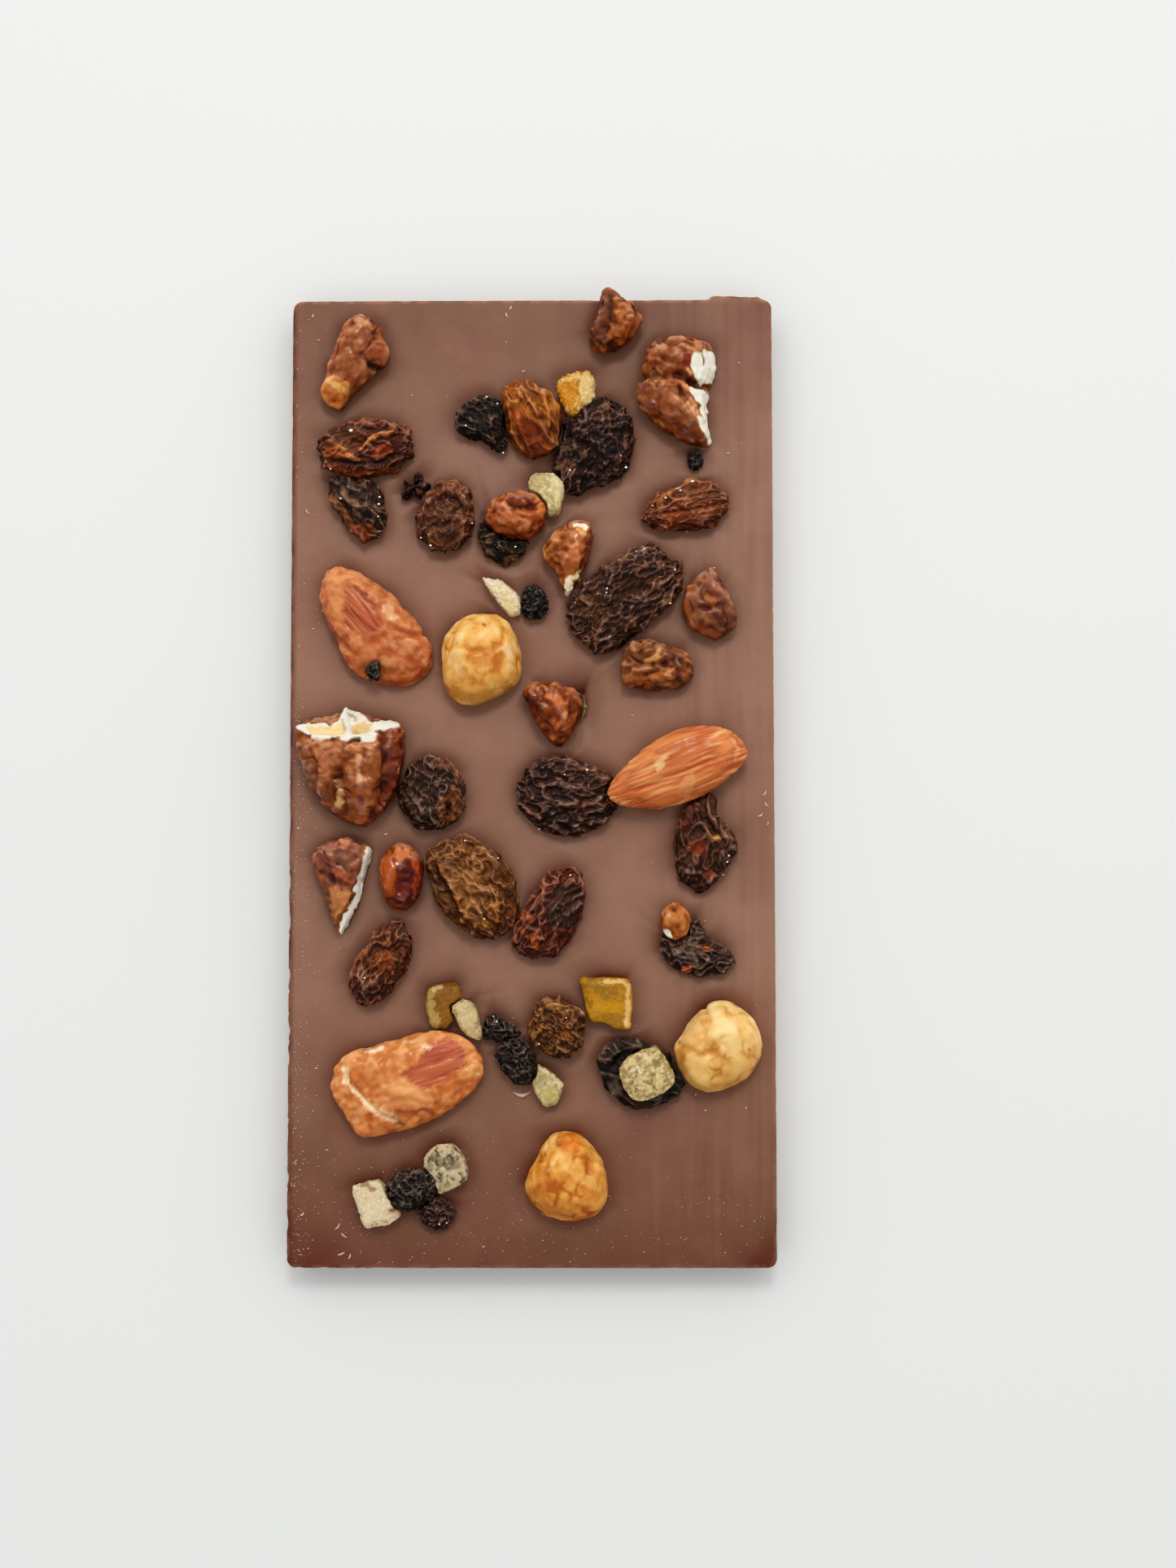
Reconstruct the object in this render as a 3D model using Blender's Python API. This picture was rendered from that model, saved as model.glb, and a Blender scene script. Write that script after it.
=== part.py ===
"""A fruit and nut chocolate bar: a flat milk chocolate slab, poured into a plain tray mould, with raisins,
nuts, dark berries and candied fruit pressed into its open face before it set.

Run it with: blender --background --python part.py

Frame: X across the bar, Y along it, Z up. The origin is the centre of the slab's flat underside. Sizes and
places in the tables below are millimetres in that frame, and MM turns them into Blender's metres.
"""

import math

import bmesh
import bpy
from mathutils import Vector, noise

MM = 0.001

# Driving dimensions of the slab
SLAB_WIDTH = 80.0
SLAB_LENGTH = 160.0
SLAB_THICKNESS = 6.5
MOULD_DRAFT = 0.9        # how far each side leans in from the open face to the underside
CORNER_RADIUS = 1.6
BASE_EDGE_RADIUS = 0.8
CORNER_SEGMENTS = 4
BASE_EDGE_SEGMENTS = 2

# Clearance between a topping and what it is pressed into
PRESS_GAP = 0.3

# Materials: base colour, roughness
FINISHES = {
    "milk_chocolate": ((0.155, 0.072, 0.044), 0.38),
    "dark_raisin": ((0.022, 0.013, 0.011), 0.45),
    "brown_raisin": ((0.115, 0.048, 0.018), 0.45),
    "golden_raisin": ((0.33, 0.14, 0.032), 0.40),
    "glazed_nut": ((0.30, 0.095, 0.035), 0.30),
    "almond_skin": ((0.50, 0.19, 0.075), 0.42),
    "roasted_hazelnut": ((0.66, 0.35, 0.115), 0.38),
    "dark_berry": ((0.012, 0.011, 0.014), 0.40),
    "yellow_peel": ((0.62, 0.36, 0.03), 0.35),
    "pale_candied_fruit": ((0.62, 0.57, 0.40), 0.55),
}

# How each kind of topping is rounded and how lumpy it is.
# sides and rings are how finely its sphere is divided, round the outline and from bottom to top.
# plan_power and side_power shape the section: 1 is an ellipse, and smaller is boxier.
# softness is 0 for straight runs between the outline's points and 1 for a smooth curve through them.
KINDS = {
    "raisin": dict(sides=16, rings=5, plan_power=0.80, side_power=0.75, softness=1.0,
                   lump=0.07, lump_size=3.0),
    "hazelnut": dict(sides=18, rings=7, plan_power=0.95, side_power=0.95, softness=1.0,
                     lump=0.02, lump_size=4.5),
    "almond": dict(sides=20, rings=5, plan_power=0.75, side_power=0.85, softness=1.0,
                   lump=0.02, lump_size=6.0),
    "nut": dict(sides=18, rings=5, plan_power=0.75, side_power=0.80, softness=0.6,
                lump=0.06, lump_size=3.0),
    "berry": dict(sides=10, rings=5, plan_power=0.80, side_power=0.80, softness=0.8,
                  lump=0.05, lump_size=2.2),
    "peel": dict(sides=14, rings=5, plan_power=0.45, side_power=0.40, softness=0.25,
                 lump=0.03, lump_size=2.5),
}

# The toppings. Each outline is the widest plan shape, clockwise or anticlockwise, in millimetres.
# rise and sink are how far it reaches above and below the chocolate's face: a negative sink lifts it off.
# over names the pieces that it lies on or presses against, and which give way to it.
# peak moves its crown sideways, and broken is a flat fracture: a point on it, and its outward direction.
TOPPINGS = {
    # Raisins and sultanas
    "raisin_01": dict(finish="brown_raisin", rise=4.8, sink=1.3, over=["raisin_02"], outline=[
        (-35.6, 54.9), (-33.9, 57.3), (-29.7, 59.3), (-24.7, 59.2), (-20.7, 58.3), (-19.4, 54.0),
        (-23.2, 50.7), (-29.2, 49.7), (-34.4, 51.2)]),
    "raisin_02": dict(finish="brown_raisin", rise=3.4, sink=1.3, outline=[
        (-33.6, 49.5), (-29.3, 50.9), (-25.5, 49.1), (-24.0, 43.4), (-25.1, 40.2), (-27.8, 39.1),
        (-30.7, 41.5), (-33.0, 45.5)]),
    "raisin_03": dict(finish="dark_raisin", rise=3.6, sink=1.2, outline=[
        (-12.8, 58.8), (-11.7, 61.6), (-8.1, 63.6), (-4.5, 62.3), (-3.4, 57.3), (-5.1, 53.7), (-8.4, 55.8),
        (-11.7, 57.0)]),
    "raisin_04": dict(finish="golden_raisin", rise=5.0, sink=1.2,
                      over=["raisin_03", "raisin_05", "peel_01"], outline=[
        (-4.5, 64.4), (-1.4, 65.9), (2.3, 64.4), (4.9, 60.2), (4.3, 55.0), (1.4, 52.7), (-2.5, 54.3),
        (-4.2, 59.5)]),
    "raisin_05": dict(finish="dark_raisin", rise=4.0, sink=1.5, outline=[
        (8.0, 61.7), (12.2, 63.1), (15.7, 61.1), (17.1, 56.3), (15.7, 50.7), (11.0, 48.3), (6.5, 46.5),
        (3.2, 50.8), (4.2, 57.3)]),
    "raisin_06": dict(finish="brown_raisin", rise=4.2, sink=1.3, over=["berry_01", "raisin_07"], outline=[
        (-19.6, 42.3), (-17.6, 47.0), (-13.3, 49.6), (-10.1, 47.6), (-9.1, 42.8), (-10.9, 38.7),
        (-14.5, 36.9), (-18.3, 38.9)]),
    "raisin_07": dict(finish="dark_raisin", rise=2.6, sink=1.2, outline=[
        (-9.1, 41.8), (-6.4, 43.8), (-1.5, 43.5), (-0.1, 40.0), (-1.6, 37.0), (-4.5, 35.2), (-7.6, 37.2)]),
    "raisin_08": dict(finish="brown_raisin", rise=3.8, sink=1.3, outline=[
        (18.1, 42.7), (20.3, 46.5), (24.2, 48.0), (27.4, 49.6), (30.8, 48.0), (32.9, 44.9), (30.0, 41.2),
        (24.9, 40.5), (20.2, 41.1)]),
    "raisin_09": dict(finish="dark_raisin", rise=4.5, sink=1.5, outline=[
        (5.9, 27.1), (8.2, 32.0), (13.4, 35.6), (19.3, 39.0), (22.6, 36.6), (25.0, 34.4), (23.8, 29.8),
        (17.0, 23.5), (10.3, 20.3)]),
    "raisin_10": dict(finish="dark_raisin", rise=4.4, sink=1.3, outline=[
        (-22.1, -2.7), (-20.4, 1.0), (-17.1, 3.7), (-13.2, 2.4), (-10.7, -1.5), (-12.1, -7.0),
        (-16.1, -8.7), (-20.2, -6.7)]),
    "raisin_11": dict(finish="dark_raisin", rise=3.8, sink=1.4, outline=[
        (-2.3, -3.0), (-0.3, 1.8), (4.0, 3.8), (8.8, 2.3), (13.5, 0.3), (15.2, -4.0), (11.8, -7.7),
        (6.0, -9.4), (0.3, -8.0)]),
    "raisin_12": dict(finish="dark_raisin", rise=3.8, sink=1.3, outline=[
        (25.7, -3.8), (30.0, -2.6), (30.8, -6.4), (33.8, -10.2), (32.4, -14.5), (29.2, -18.2),
        (26.5, -18.7), (23.2, -15.2), (23.9, -8.5)]),
    "raisin_13": dict(finish="brown_raisin", rise=5.0, sink=1.5, over=["raisin_14"], outline=[
        (-17.3, -12.8), (-14.8, -10.8), (-10.8, -9.4), (-5.2, -12.6), (-1.9, -19.0), (-2.9, -24.9),
        (-7.5, -26.5), (-13.0, -24.1), (-16.0, -18.3)]),
    "raisin_14": dict(finish="brown_raisin", rise=4.2, sink=1.3, outline=[
        (1.9, -16.6), (5.0, -14.7), (7.8, -15.4), (8.6, -19.1), (7.9, -23.4), (5.8, -27.9), (1.1, -29.8),
        (-2.9, -27.7), (-2.7, -23.1), (-0.5, -20.1)]),
    "raisin_15": dict(finish="brown_raisin", rise=4.3, sink=1.3, outline=[
        (-29.8, -33.7), (-28.5, -29.7), (-25.1, -24.9), (-21.6, -23.2), (-19.6, -25.9), (-20.3, -31.1),
        (-23.6, -35.7), (-27.9, -37.2)]),
    "raisin_16": dict(finish="brown_raisin", rise=4.4, sink=1.3, over=["peel_08"], outline=[
        (-0.8, -40.7), (0.9, -36.9), (4.8, -35.7), (8.0, -37.7), (9.3, -40.9), (7.2, -45.1), (4.3, -46.1),
        (0.5, -43.9)]),
    "raisin_17": dict(finish="dark_raisin", rise=3.6, sink=1.4, outline=[
        (10.9, -46.1), (13.6, -43.0), (18.9, -43.1), (23.1, -46.2), (24.9, -50.1), (21.7, -53.5),
        (16.8, -53.9), (12.4, -51.1)]),
    # Whole skinned hazelnuts
    "hazelnut_01": dict(finish="roasted_hazelnut", rise=7.6, sink=4.2, outline=[
        (-14.8, 17.9), (-13.8, 24.1), (-9.6, 26.9), (-4.5, 26.3), (-2.1, 21.7), (-1.8, 16.3), (-5.7, 13.1),
        (-10.6, 11.7), (-14.0, 14.3)]),
    "hazelnut_02": dict(finish="roasted_hazelnut", rise=7.4, sink=4.2, over=["raisin_17"], outline=[
        (23.0, -44.5), (24.1, -42.5), (26.4, -39.6), (28.6, -37.2), (31.9, -36.5), (35.2, -38.4),
        (37.1, -41.4), (37.6, -44.9), (36.2, -48.0), (32.7, -50.4), (27.9, -51.3), (24.8, -48.8)]),
    "hazelnut_03": dict(finish="roasted_hazelnut", rise=7.2, sink=4.2, outline=[
        (-1.1, -66.2), (0.8, -62.2), (2.7, -58.9), (6.0, -57.5), (9.3, -59.3), (11.9, -63.1), (12.5, -66.8),
        (11.7, -70.0), (8.9, -71.9), (5.1, -71.8), (1.1, -70.4)]),
    # Almonds: two glazed ones and a plain whole one that lies across two raisins
    "almond_01": dict(finish="almond_skin", rise=5.0, sink=2.2, peak=(-1.5, 2.0), outline=[
        (-32.7, 33.9), (-30.0, 34.0), (-25.5, 31.8), (-21.0, 28.0), (-17.6, 23.5), (-16.0, 20.6),
        (-16.7, 17.7), (-20.1, 15.1), (-24.5, 15.5), (-28.8, 16.9), (-30.4, 19.5), (-32.4, 23.6),
        (-34.1, 27.4), (-34.3, 31.5)]),
    "almond_02": dict(finish="almond_skin", rise=6.4, sink=0.8, over=["raisin_11", "raisin_12"], outline=[
        (12.3, -2.5), (15.4, 1.9), (20.9, 6.3), (27.3, 8.5), (32.7, 7.5), (35.6, 3.7), (33.3, 0.5),
        (27.8, -3.3), (20.9, -5.4), (14.5, -4.8)]),
    "almond_03": dict(finish="almond_skin", rise=5.0, sink=2.0, over=["peel_05", "peel_06"], outline=[
        (-32.5, -50.8), (-31.3, -46.1), (-26.3, -44.3), (-19.8, -42.3), (-13.8, -41.3), (-9.5, -43.5),
        (-7.5, -47.7), (-10.9, -52.5), (-16.8, -56.1), (-22.8, -57.7), (-27.8, -58.7), (-30.9, -53.9)]),
    # Pieces of glazed nut
    "nut_01": dict(finish="glazed_nut", rise=4.6, sink=1.4, outline=[
        (-28.4, 76.9), (-25.5, 75.7), (-24.2, 72.7), (-23.3, 70.3), (-24.5, 67.8), (-28.1, 65.3),
        (-31.6, 61.0), (-34.1, 61.9), (-34.9, 63.9), (-33.7, 68.5), (-32.2, 72.7), (-30.7, 76.0)]),
    "nut_02": dict(finish="glazed_nut", rise=6.0, sink=1.2, outline=[
        (11.8, 80.9), (13.4, 81.1), (14.8, 79.7), (17.5, 77.9), (18.3, 75.8), (16.9, 72.6), (14.0, 70.9),
        (11.1, 70.0), (9.6, 72.6), (9.8, 74.7), (11.2, 77.2), (11.5, 79.7)]),
    "nut_03": dict(finish="glazed_nut", rise=5.8, sink=1.8, over=["berry_02"], peak=(-2.0, 0.0),
                   broken=((28.5, 66.0, 9.9), (0.64, 0.0, 0.77)), outline=[
        (19.4, 70.9), (21.2, 72.7), (25.2, 73.2), (28.4, 72.6), (30.8, 71.6), (30.8, 67.7), (29.7, 64.1),
        (29.1, 60.9), (30.2, 54.5), (26.5, 55.1), (22.5, 57.1), (19.1, 60.0), (17.5, 63.6), (19.1, 67.1)]),
    "nut_04": dict(finish="glazed_nut", rise=5.8, sink=0.5, over=["raisin_07", "peel_02"], outline=[
        (-7.7, 43.0), (-6.9, 45.1), (-4.9, 46.7), (-2.0, 47.3), (0.7, 46.6), (2.5, 44.6), (2.4, 41.8),
        (0.7, 39.8), (-1.9, 39.2), (-4.9, 40.0), (-6.9, 41.2)]),
    "nut_05": dict(finish="glazed_nut", rise=5.2, sink=1.3, over=["raisin_09"], outline=[
        (1.6, 36.6), (4.0, 40.6), (7.5, 42.4), (10.0, 41.4), (9.6, 36.4), (8.0, 32.6), (5.7, 29.7),
        (4.4, 33.2)]),
    "nut_06": dict(finish="glazed_nut", rise=5.0, sink=1.4, outline=[
        (25.1, 28.0), (26.4, 32.4), (29.8, 34.2), (32.4, 30.8), (34.0, 25.3), (30.4, 22.6), (26.4, 24.5)]),
    "nut_07": dict(finish="glazed_nut", rise=4.4, sink=1.4, outline=[
        (14.8, 15.3), (15.5, 21.1), (18.5, 22.7), (22.5, 21.4), (25.5, 20.9), (26.8, 16.9), (24.7, 14.7),
        (19.5, 14.3)]),
    "nut_08": dict(finish="glazed_nut", rise=6.0, sink=1.4, peak=(-0.6, 1.0),
                   over=["peel_04", "raisin_11"], outline=[
        (-1.4, 13.1), (0.7, 15.3), (5.2, 15.0), (8.8, 12.5), (7.3, 7.9), (5.2, 4.8), (2.9, 5.9),
        (0.5, 9.3)]),
    "nut_09": dict(finish="glazed_nut", rise=8.0, sink=2.2, peak=(0.0, 2.5), over=["raisin_10"],
                   broken=((-30.5, 7.4, 12.3), (0.0, 0.68, 0.73)), outline=[
        (-39.0, 9.1), (-34.5, 10.0), (-30.9, 11.2), (-26.6, 10.1), (-21.1, 9.4), (-20.8, 1.9),
        (-22.6, -3.9), (-27.0, -8.5), (-32.9, -6.4), (-37.3, 0.3)]),
    "nut_10": dict(finish="glazed_nut", rise=4.2, sink=1.0,
                   broken=((-28.0, -17.5, 8.6), (0.85, -0.30, 0.43)), outline=[
        (-35.3, -11.7), (-33.5, -10.3), (-31.1, -9.8), (-28.4, -10.2), (-26.1, -11.6), (-26.4, -13.5),
        (-27.5, -18.4), (-29.2, -22.8), (-31.1, -26.0), (-32.2, -24.6), (-33.5, -19.7), (-36.0, -14.4)]),
    "nut_11": dict(finish="glazed_nut", rise=5.4, sink=1.5, over=["raisin_13"], outline=[
        (-25.0, -15.2), (-23.5, -11.6), (-20.7, -10.7), (-17.8, -13.2), (-17.9, -18.8), (-20.4, -21.8),
        (-23.5, -21.2)]),
    "nut_12": dict(finish="glazed_nut", rise=5.0, sink=0.3, over=["berry_05"],
                   broken=((22.0, -25.3, 10.2), (-0.55, -0.60, 0.58)), outline=[
        (20.8, -24.2), (21.9, -21.1), (24.0, -20.3), (26.1, -22.9), (25.3, -25.9), (23.1, -26.8)]),
    # Dark dried berries and scraps of them
    "berry_01": dict(finish="dark_berry", rise=1.9, sink=0.8, outline=[
        (-21.6, 46.7), (-20.5, 49.6), (-17.9, 50.4), (-17.4, 47.6), (-18.9, 46.6)]),
    "berry_02": dict(finish="dark_berry", rise=1.6, sink=0.8, outline=[
        (25.7, 53.8), (27.3, 54.5), (28.5, 53.3), (27.9, 51.4), (26.3, 51.2)]),
    "berry_03": dict(finish="dark_berry", rise=2.6, sink=1.0, outline=[
        (-1.8, 28.0), (-1.2, 31.4), (1.2, 31.9), (2.9, 29.0), (1.8, 26.5), (-0.9, 26.4)]),
    "berry_04": dict(finish="dark_berry", rise=4.9, sink=-2.6, over=["almond_01"], outline=[
        (-27.1, 17.9), (-25.7, 18.8), (-24.9, 18.7), (-24.8, 16.1), (-26.1, 15.8), (-27.2, 16.9)]),
    "berry_05": dict(finish="dark_berry", rise=2.8, sink=1.1, outline=[
        (22.2, -24.5), (26.5, -22.3), (28.2, -25.5), (32.5, -28.3), (33.4, -30.3), (30.9, -32.3),
        (25.9, -32.4), (22.1, -30.4), (20.8, -27.1)]),
    "berry_06": dict(finish="dark_berry", rise=2.6, sink=1.0, outline=[
        (-8.0, -41.3), (-6.5, -38.4), (-4.1, -39.7), (-1.8, -41.7), (-3.5, -43.2), (-7.1, -42.9)]),
    "berry_07": dict(finish="dark_berry", rise=3.4, sink=1.1, over=["berry_06", "peel_07"], outline=[
        (-5.8, -44.9), (-3.7, -42.7), (-0.5, -43.1), (0.9, -46.7), (-0.3, -50.0), (-3.5, -49.7)]),
    "berry_08": dict(finish="dark_berry", rise=4.4, sink=0.9,
                     over=["peel_10", "peel_11", "berry_09"], outline=[
        (-23.7, -66.9), (-21.8, -64.1), (-18.4, -63.4), (-15.8, -65.2), (-15.4, -67.7), (-18.0, -69.9),
        (-21.4, -70.4)]),
    "berry_09": dict(finish="dark_berry", rise=2.8, sink=1.0, outline=[
        (-18.5, -70.5), (-16.3, -67.9), (-14.1, -68.8), (-12.1, -70.7), (-13.9, -73.4), (-16.9, -73.3)]),
    # Candied peel and candied fruit, cut in cubes
    "peel_01": dict(finish="yellow_peel", rise=4.2, sink=0.8, over=["raisin_05"], outline=[
        (4.1, 65.4), (6.1, 66.7), (8.6, 67.2), (10.3, 66.7), (10.5, 62.4), (8.6, 61.3), (7.0, 59.4),
        (5.2, 61.5)]),
    "peel_02": dict(finish="pale_candied_fruit", rise=4.0, sink=1.0, over=["raisin_05"], outline=[
        (-0.7, 48.9), (0.7, 50.3), (3.6, 50.3), (5.4, 48.8), (5.5, 46.6), (4.4, 43.6), (3.2, 43.0),
        (0.7, 44.8)]),
    "peel_03": dict(finish="pale_candied_fruit", rise=2.6, sink=0.9, over=["berry_03"], outline=[
        (-8.3, 33.1), (-4.9, 32.5), (-1.9, 30.2), (-1.8, 27.0), (-3.7, 26.6), (-6.5, 30.2)]),
    "peel_04": dict(finish="pale_candied_fruit", rise=2.8, sink=1.0, outline=[
        (5.0, 15.0), (9.4, 15.7), (10.2, 12.8), (9.0, 9.2), (7.2, 8.9), (6.5, 12.0)]),
    "peel_05": dict(finish="yellow_peel", rise=2.8, sink=1.0, outline=[
        (-17.2, -34.9), (-15.5, -33.8), (-11.9, -33.7), (-11.1, -36.4), (-13.1, -40.5), (-15.3, -41.5),
        (-17.1, -39.5)]),
    "peel_06": dict(finish="pale_candied_fruit", rise=3.8, sink=0.7, over=["peel_05", "berry_06"], outline=[
        (-13.1, -37.7), (-11.1, -36.2), (-9.1, -37.1), (-8.1, -41.1), (-8.3, -43.1), (-10.9, -41.8)]),
    "peel_07": dict(finish="pale_candied_fruit", rise=2.4, sink=0.9, outline=[
        (0.0, -50.1), (1.2, -46.7), (5.4, -49.9), (4.2, -53.5), (1.8, -53.7)]),
    "peel_08": dict(finish="yellow_peel", rise=2.8, sink=1.0, outline=[
        (8.0, -33.2), (12.5, -32.7), (16.5, -33.1), (16.3, -40.9), (14.0, -41.1), (9.2, -38.7)]),
    "peel_09": dict(finish="pale_candied_fruit", rise=6.6, sink=-2.7, over=["raisin_17"], outline=[
        (14.2, -47.6), (15.4, -45.7), (17.7, -44.5), (20.5, -43.8), (22.0, -45.9), (23.2, -48.4),
        (22.8, -50.4), (19.9, -51.9), (17.8, -52.5), (15.4, -51.6)]),
    "peel_10": dict(finish="pale_candied_fruit", rise=3.4, sink=1.0, outline=[
        (-17.7, -62.5), (-15.7, -59.9), (-12.1, -59.7), (-9.7, -65.1), (-12.5, -66.7), (-15.1, -68.0),
        (-16.7, -65.5)]),
    "peel_11": dict(finish="pale_candied_fruit", rise=3.6, sink=1.0, outline=[
        (-29.2, -66.5), (-24.4, -65.4), (-20.9, -70.8), (-22.6, -72.5), (-27.0, -73.3), (-28.0, -70.5)]),
}


def clear_scene():
    for obj in list(bpy.data.objects):
        bpy.data.objects.remove(obj)


def new_collection(name):
    collection = bpy.data.collections.new(name)
    bpy.context.scene.collection.children.link(collection)
    return collection


def new_material(name, colour, roughness):
    material = bpy.data.materials.new(name)
    material.use_nodes = True
    surface = material.node_tree.nodes["Principled BSDF"]
    surface.inputs["Base Color"].default_value = (*colour, 1.0)
    surface.inputs["Roughness"].default_value = roughness
    surface.inputs["Metallic"].default_value = 0.0
    return material


def object_from_bmesh(name, bm, location, collection, material=None):
    mesh = bpy.data.meshes.new(name)
    bm.to_mesh(mesh)
    bm.free()
    obj = bpy.data.objects.new(name, mesh)
    obj.location = location
    collection.objects.link(obj)
    if material is not None:
        mesh.materials.append(material)
    return obj


# The slab


def make_slab(collection, material):
    """A rectangular block, its sides drawn in by the mould's draft, with rounded corners and base edges."""
    bm = bmesh.new()
    bmesh.ops.create_cube(bm, size=1.0)
    for vertex in bm.verts:
        inset = MOULD_DRAFT if vertex.co.z < 0 else 0.0
        vertex.co.x = math.copysign(SLAB_WIDTH / 2 - inset, vertex.co.x) * MM
        vertex.co.y = math.copysign(SLAB_LENGTH / 2 - inset, vertex.co.y) * MM
        vertex.co.z = 0.0 if vertex.co.z < 0 else SLAB_THICKNESS * MM
    upright = [edge for edge in bm.edges if abs(edge.verts[0].co.z - edge.verts[1].co.z) > MM]
    bmesh.ops.bevel(bm, geom=upright, offset=CORNER_RADIUS * MM, segments=CORNER_SEGMENTS,
                    affect="EDGES", profile=0.5)
    base = [edge for edge in bm.edges if max(vertex.co.z for vertex in edge.verts) < 0.1 * MM]
    bmesh.ops.bevel(bm, geom=base, offset=BASE_EDGE_RADIUS * MM, segments=BASE_EDGE_SEGMENTS,
                    affect="EDGES", profile=0.5)
    return object_from_bmesh("chocolate_slab", bm, (0, 0, 0), collection, material)


# The toppings


def outline_centre(outline):
    """Centre of area of the closed polygon, and its signed area, positive if it runs anticlockwise."""
    area = x = y = 0.0
    for (x0, y0), (x1, y1) in zip(outline, outline[1:] + outline[:1]):
        cross = x0 * y1 - x1 * y0
        area += cross / 2
        x += (x0 + x1) * cross / 6
        y += (y0 + y1) * cross / 6
    return Vector((x / area, y / area)), area


def outline_point(outline, turn, softness):
    """The point at a share of the way round, between a straight run and a smooth curve."""
    count = len(outline)
    place = (turn % 1.0) * count
    first = int(place) % count
    t = place - int(place)
    before, start, end, after = (Vector(outline[(first + step) % count]) for step in (-1, 0, 1, 2))
    straight = start.lerp(end, t)
    smooth = 0.5 * (2 * start + (end - before) * t + (2 * before - 5 * start + 4 * end - after) * t ** 2
                    + (3 * (start - end) + after - before) * t ** 3)
    return straight.lerp(smooth, softness)


def signed_power(value, power):
    return math.copysign(abs(value) ** power, value)


def lumpy(place, kind, seed):
    """Smooth uneven swelling, as a share of the distance from the piece's centre."""
    return 1.0 + kind["lump"] * noise.noise(place / kind["lump_size"] + Vector((7.3, 3.1, 1.7)) * seed)


def make_topping(name, topping, collection, material):
    """A sphere drawn out to the topping's outline and height, made uneven, and flat where it is broken."""
    kind = KINDS[name.split("_")[0]]
    seed = 1 + list(TOPPINGS).index(name)
    centre, area = outline_centre(topping["outline"])
    outline = topping["outline"] if area > 0 else topping["outline"][::-1]
    peak = Vector(topping.get("peak", (0.0, 0.0)))
    top = SLAB_THICKNESS + topping["rise"]
    bottom = SLAB_THICKNESS - topping["sink"]
    middle = Vector((centre.x, centre.y, (top + bottom) / 2))
    bm = bmesh.new()
    bmesh.ops.create_uvsphere(bm, u_segments=kind["sides"], v_segments=kind["rings"], radius=1.0)
    widest = max(math.hypot(vertex.co.x, vertex.co.y) for vertex in bm.verts)
    for vertex in bm.verts:
        height = max(-1.0, min(1.0, vertex.co.z))
        turn = math.atan2(vertex.co.y, vertex.co.x) / math.tau
        reach = (math.hypot(vertex.co.x, vertex.co.y) / widest) ** kind["plan_power"]
        rim = outline_point(outline, turn, kind["softness"]) - centre
        plan = rim * reach + peak * max(0.0, height)
        level = signed_power(height, kind["side_power"]) * (top - bottom) / 2
        place = Vector((plan.x, plan.y, level))
        vertex.co = place * lumpy(place, kind, seed)
    if "broken" in topping:
        point, outward = (Vector(v) for v in topping["broken"])
        limit = (point - middle).dot(outward)
        for vertex in bm.verts:
            along = vertex.co.dot(outward)
            if along > limit:
                vertex.co *= limit / along
    bmesh.ops.scale(bm, vec=(MM, MM, MM), verts=bm.verts)
    return object_from_bmesh(name, bm, middle * MM, collection, material)


def make_press(topping_object, collection):
    """A copy of a topping grown by the clearance, which cuts the hollow that the topping sits in."""
    bm = bmesh.new()
    bm.from_mesh(topping_object.data)
    bm.normal_update()
    moves = {vertex: vertex.normal * vertex.calc_shell_factor() * PRESS_GAP * MM for vertex in bm.verts}
    for vertex, move in moves.items():
        vertex.co += move
    press = object_from_bmesh("press_" + topping_object.name, bm, topping_object.location, collection)
    press.display_type = "WIRE"
    press.hide_render = True
    return press


def cut(obj, label, **operand):
    modifier = obj.modifiers.new(label, "BOOLEAN")
    modifier.operation = "DIFFERENCE"
    modifier.solver = "EXACT"
    for setting, value in operand.items():
        setattr(modifier, setting, value)


def main():
    clear_scene()
    bar = new_collection("fruit_and_nut_chocolate_bar")
    presses = new_collection("presses")
    materials = {name: new_material(name, *finish) for name, finish in FINISHES.items()}

    slab = make_slab(bar, materials["milk_chocolate"])
    pieces = {}
    for name, topping in TOPPINGS.items():
        pieces[name] = make_topping(name, topping, bar, materials[topping["finish"]])
    made = {name: make_press(piece, presses) for name, piece in pieces.items()}

    for name, topping in TOPPINGS.items():
        for lower in topping.get("over", []):
            cut(pieces[lower], "pressed_by_" + name, object=made[name])
    cut(slab, "pockets", operand_type="COLLECTION", collection=presses)


main()
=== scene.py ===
"""The looks of a fruit and nut chocolate bar: a milk chocolate slab, poured in a tray mould, with raisins,
nuts, dark berries and candied fruit pressed into its open face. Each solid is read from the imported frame
and gets its real surface here. Sizes and places are millimetres in the bar's own frame, and MM turns them
into metres.
"""

import math

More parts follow.
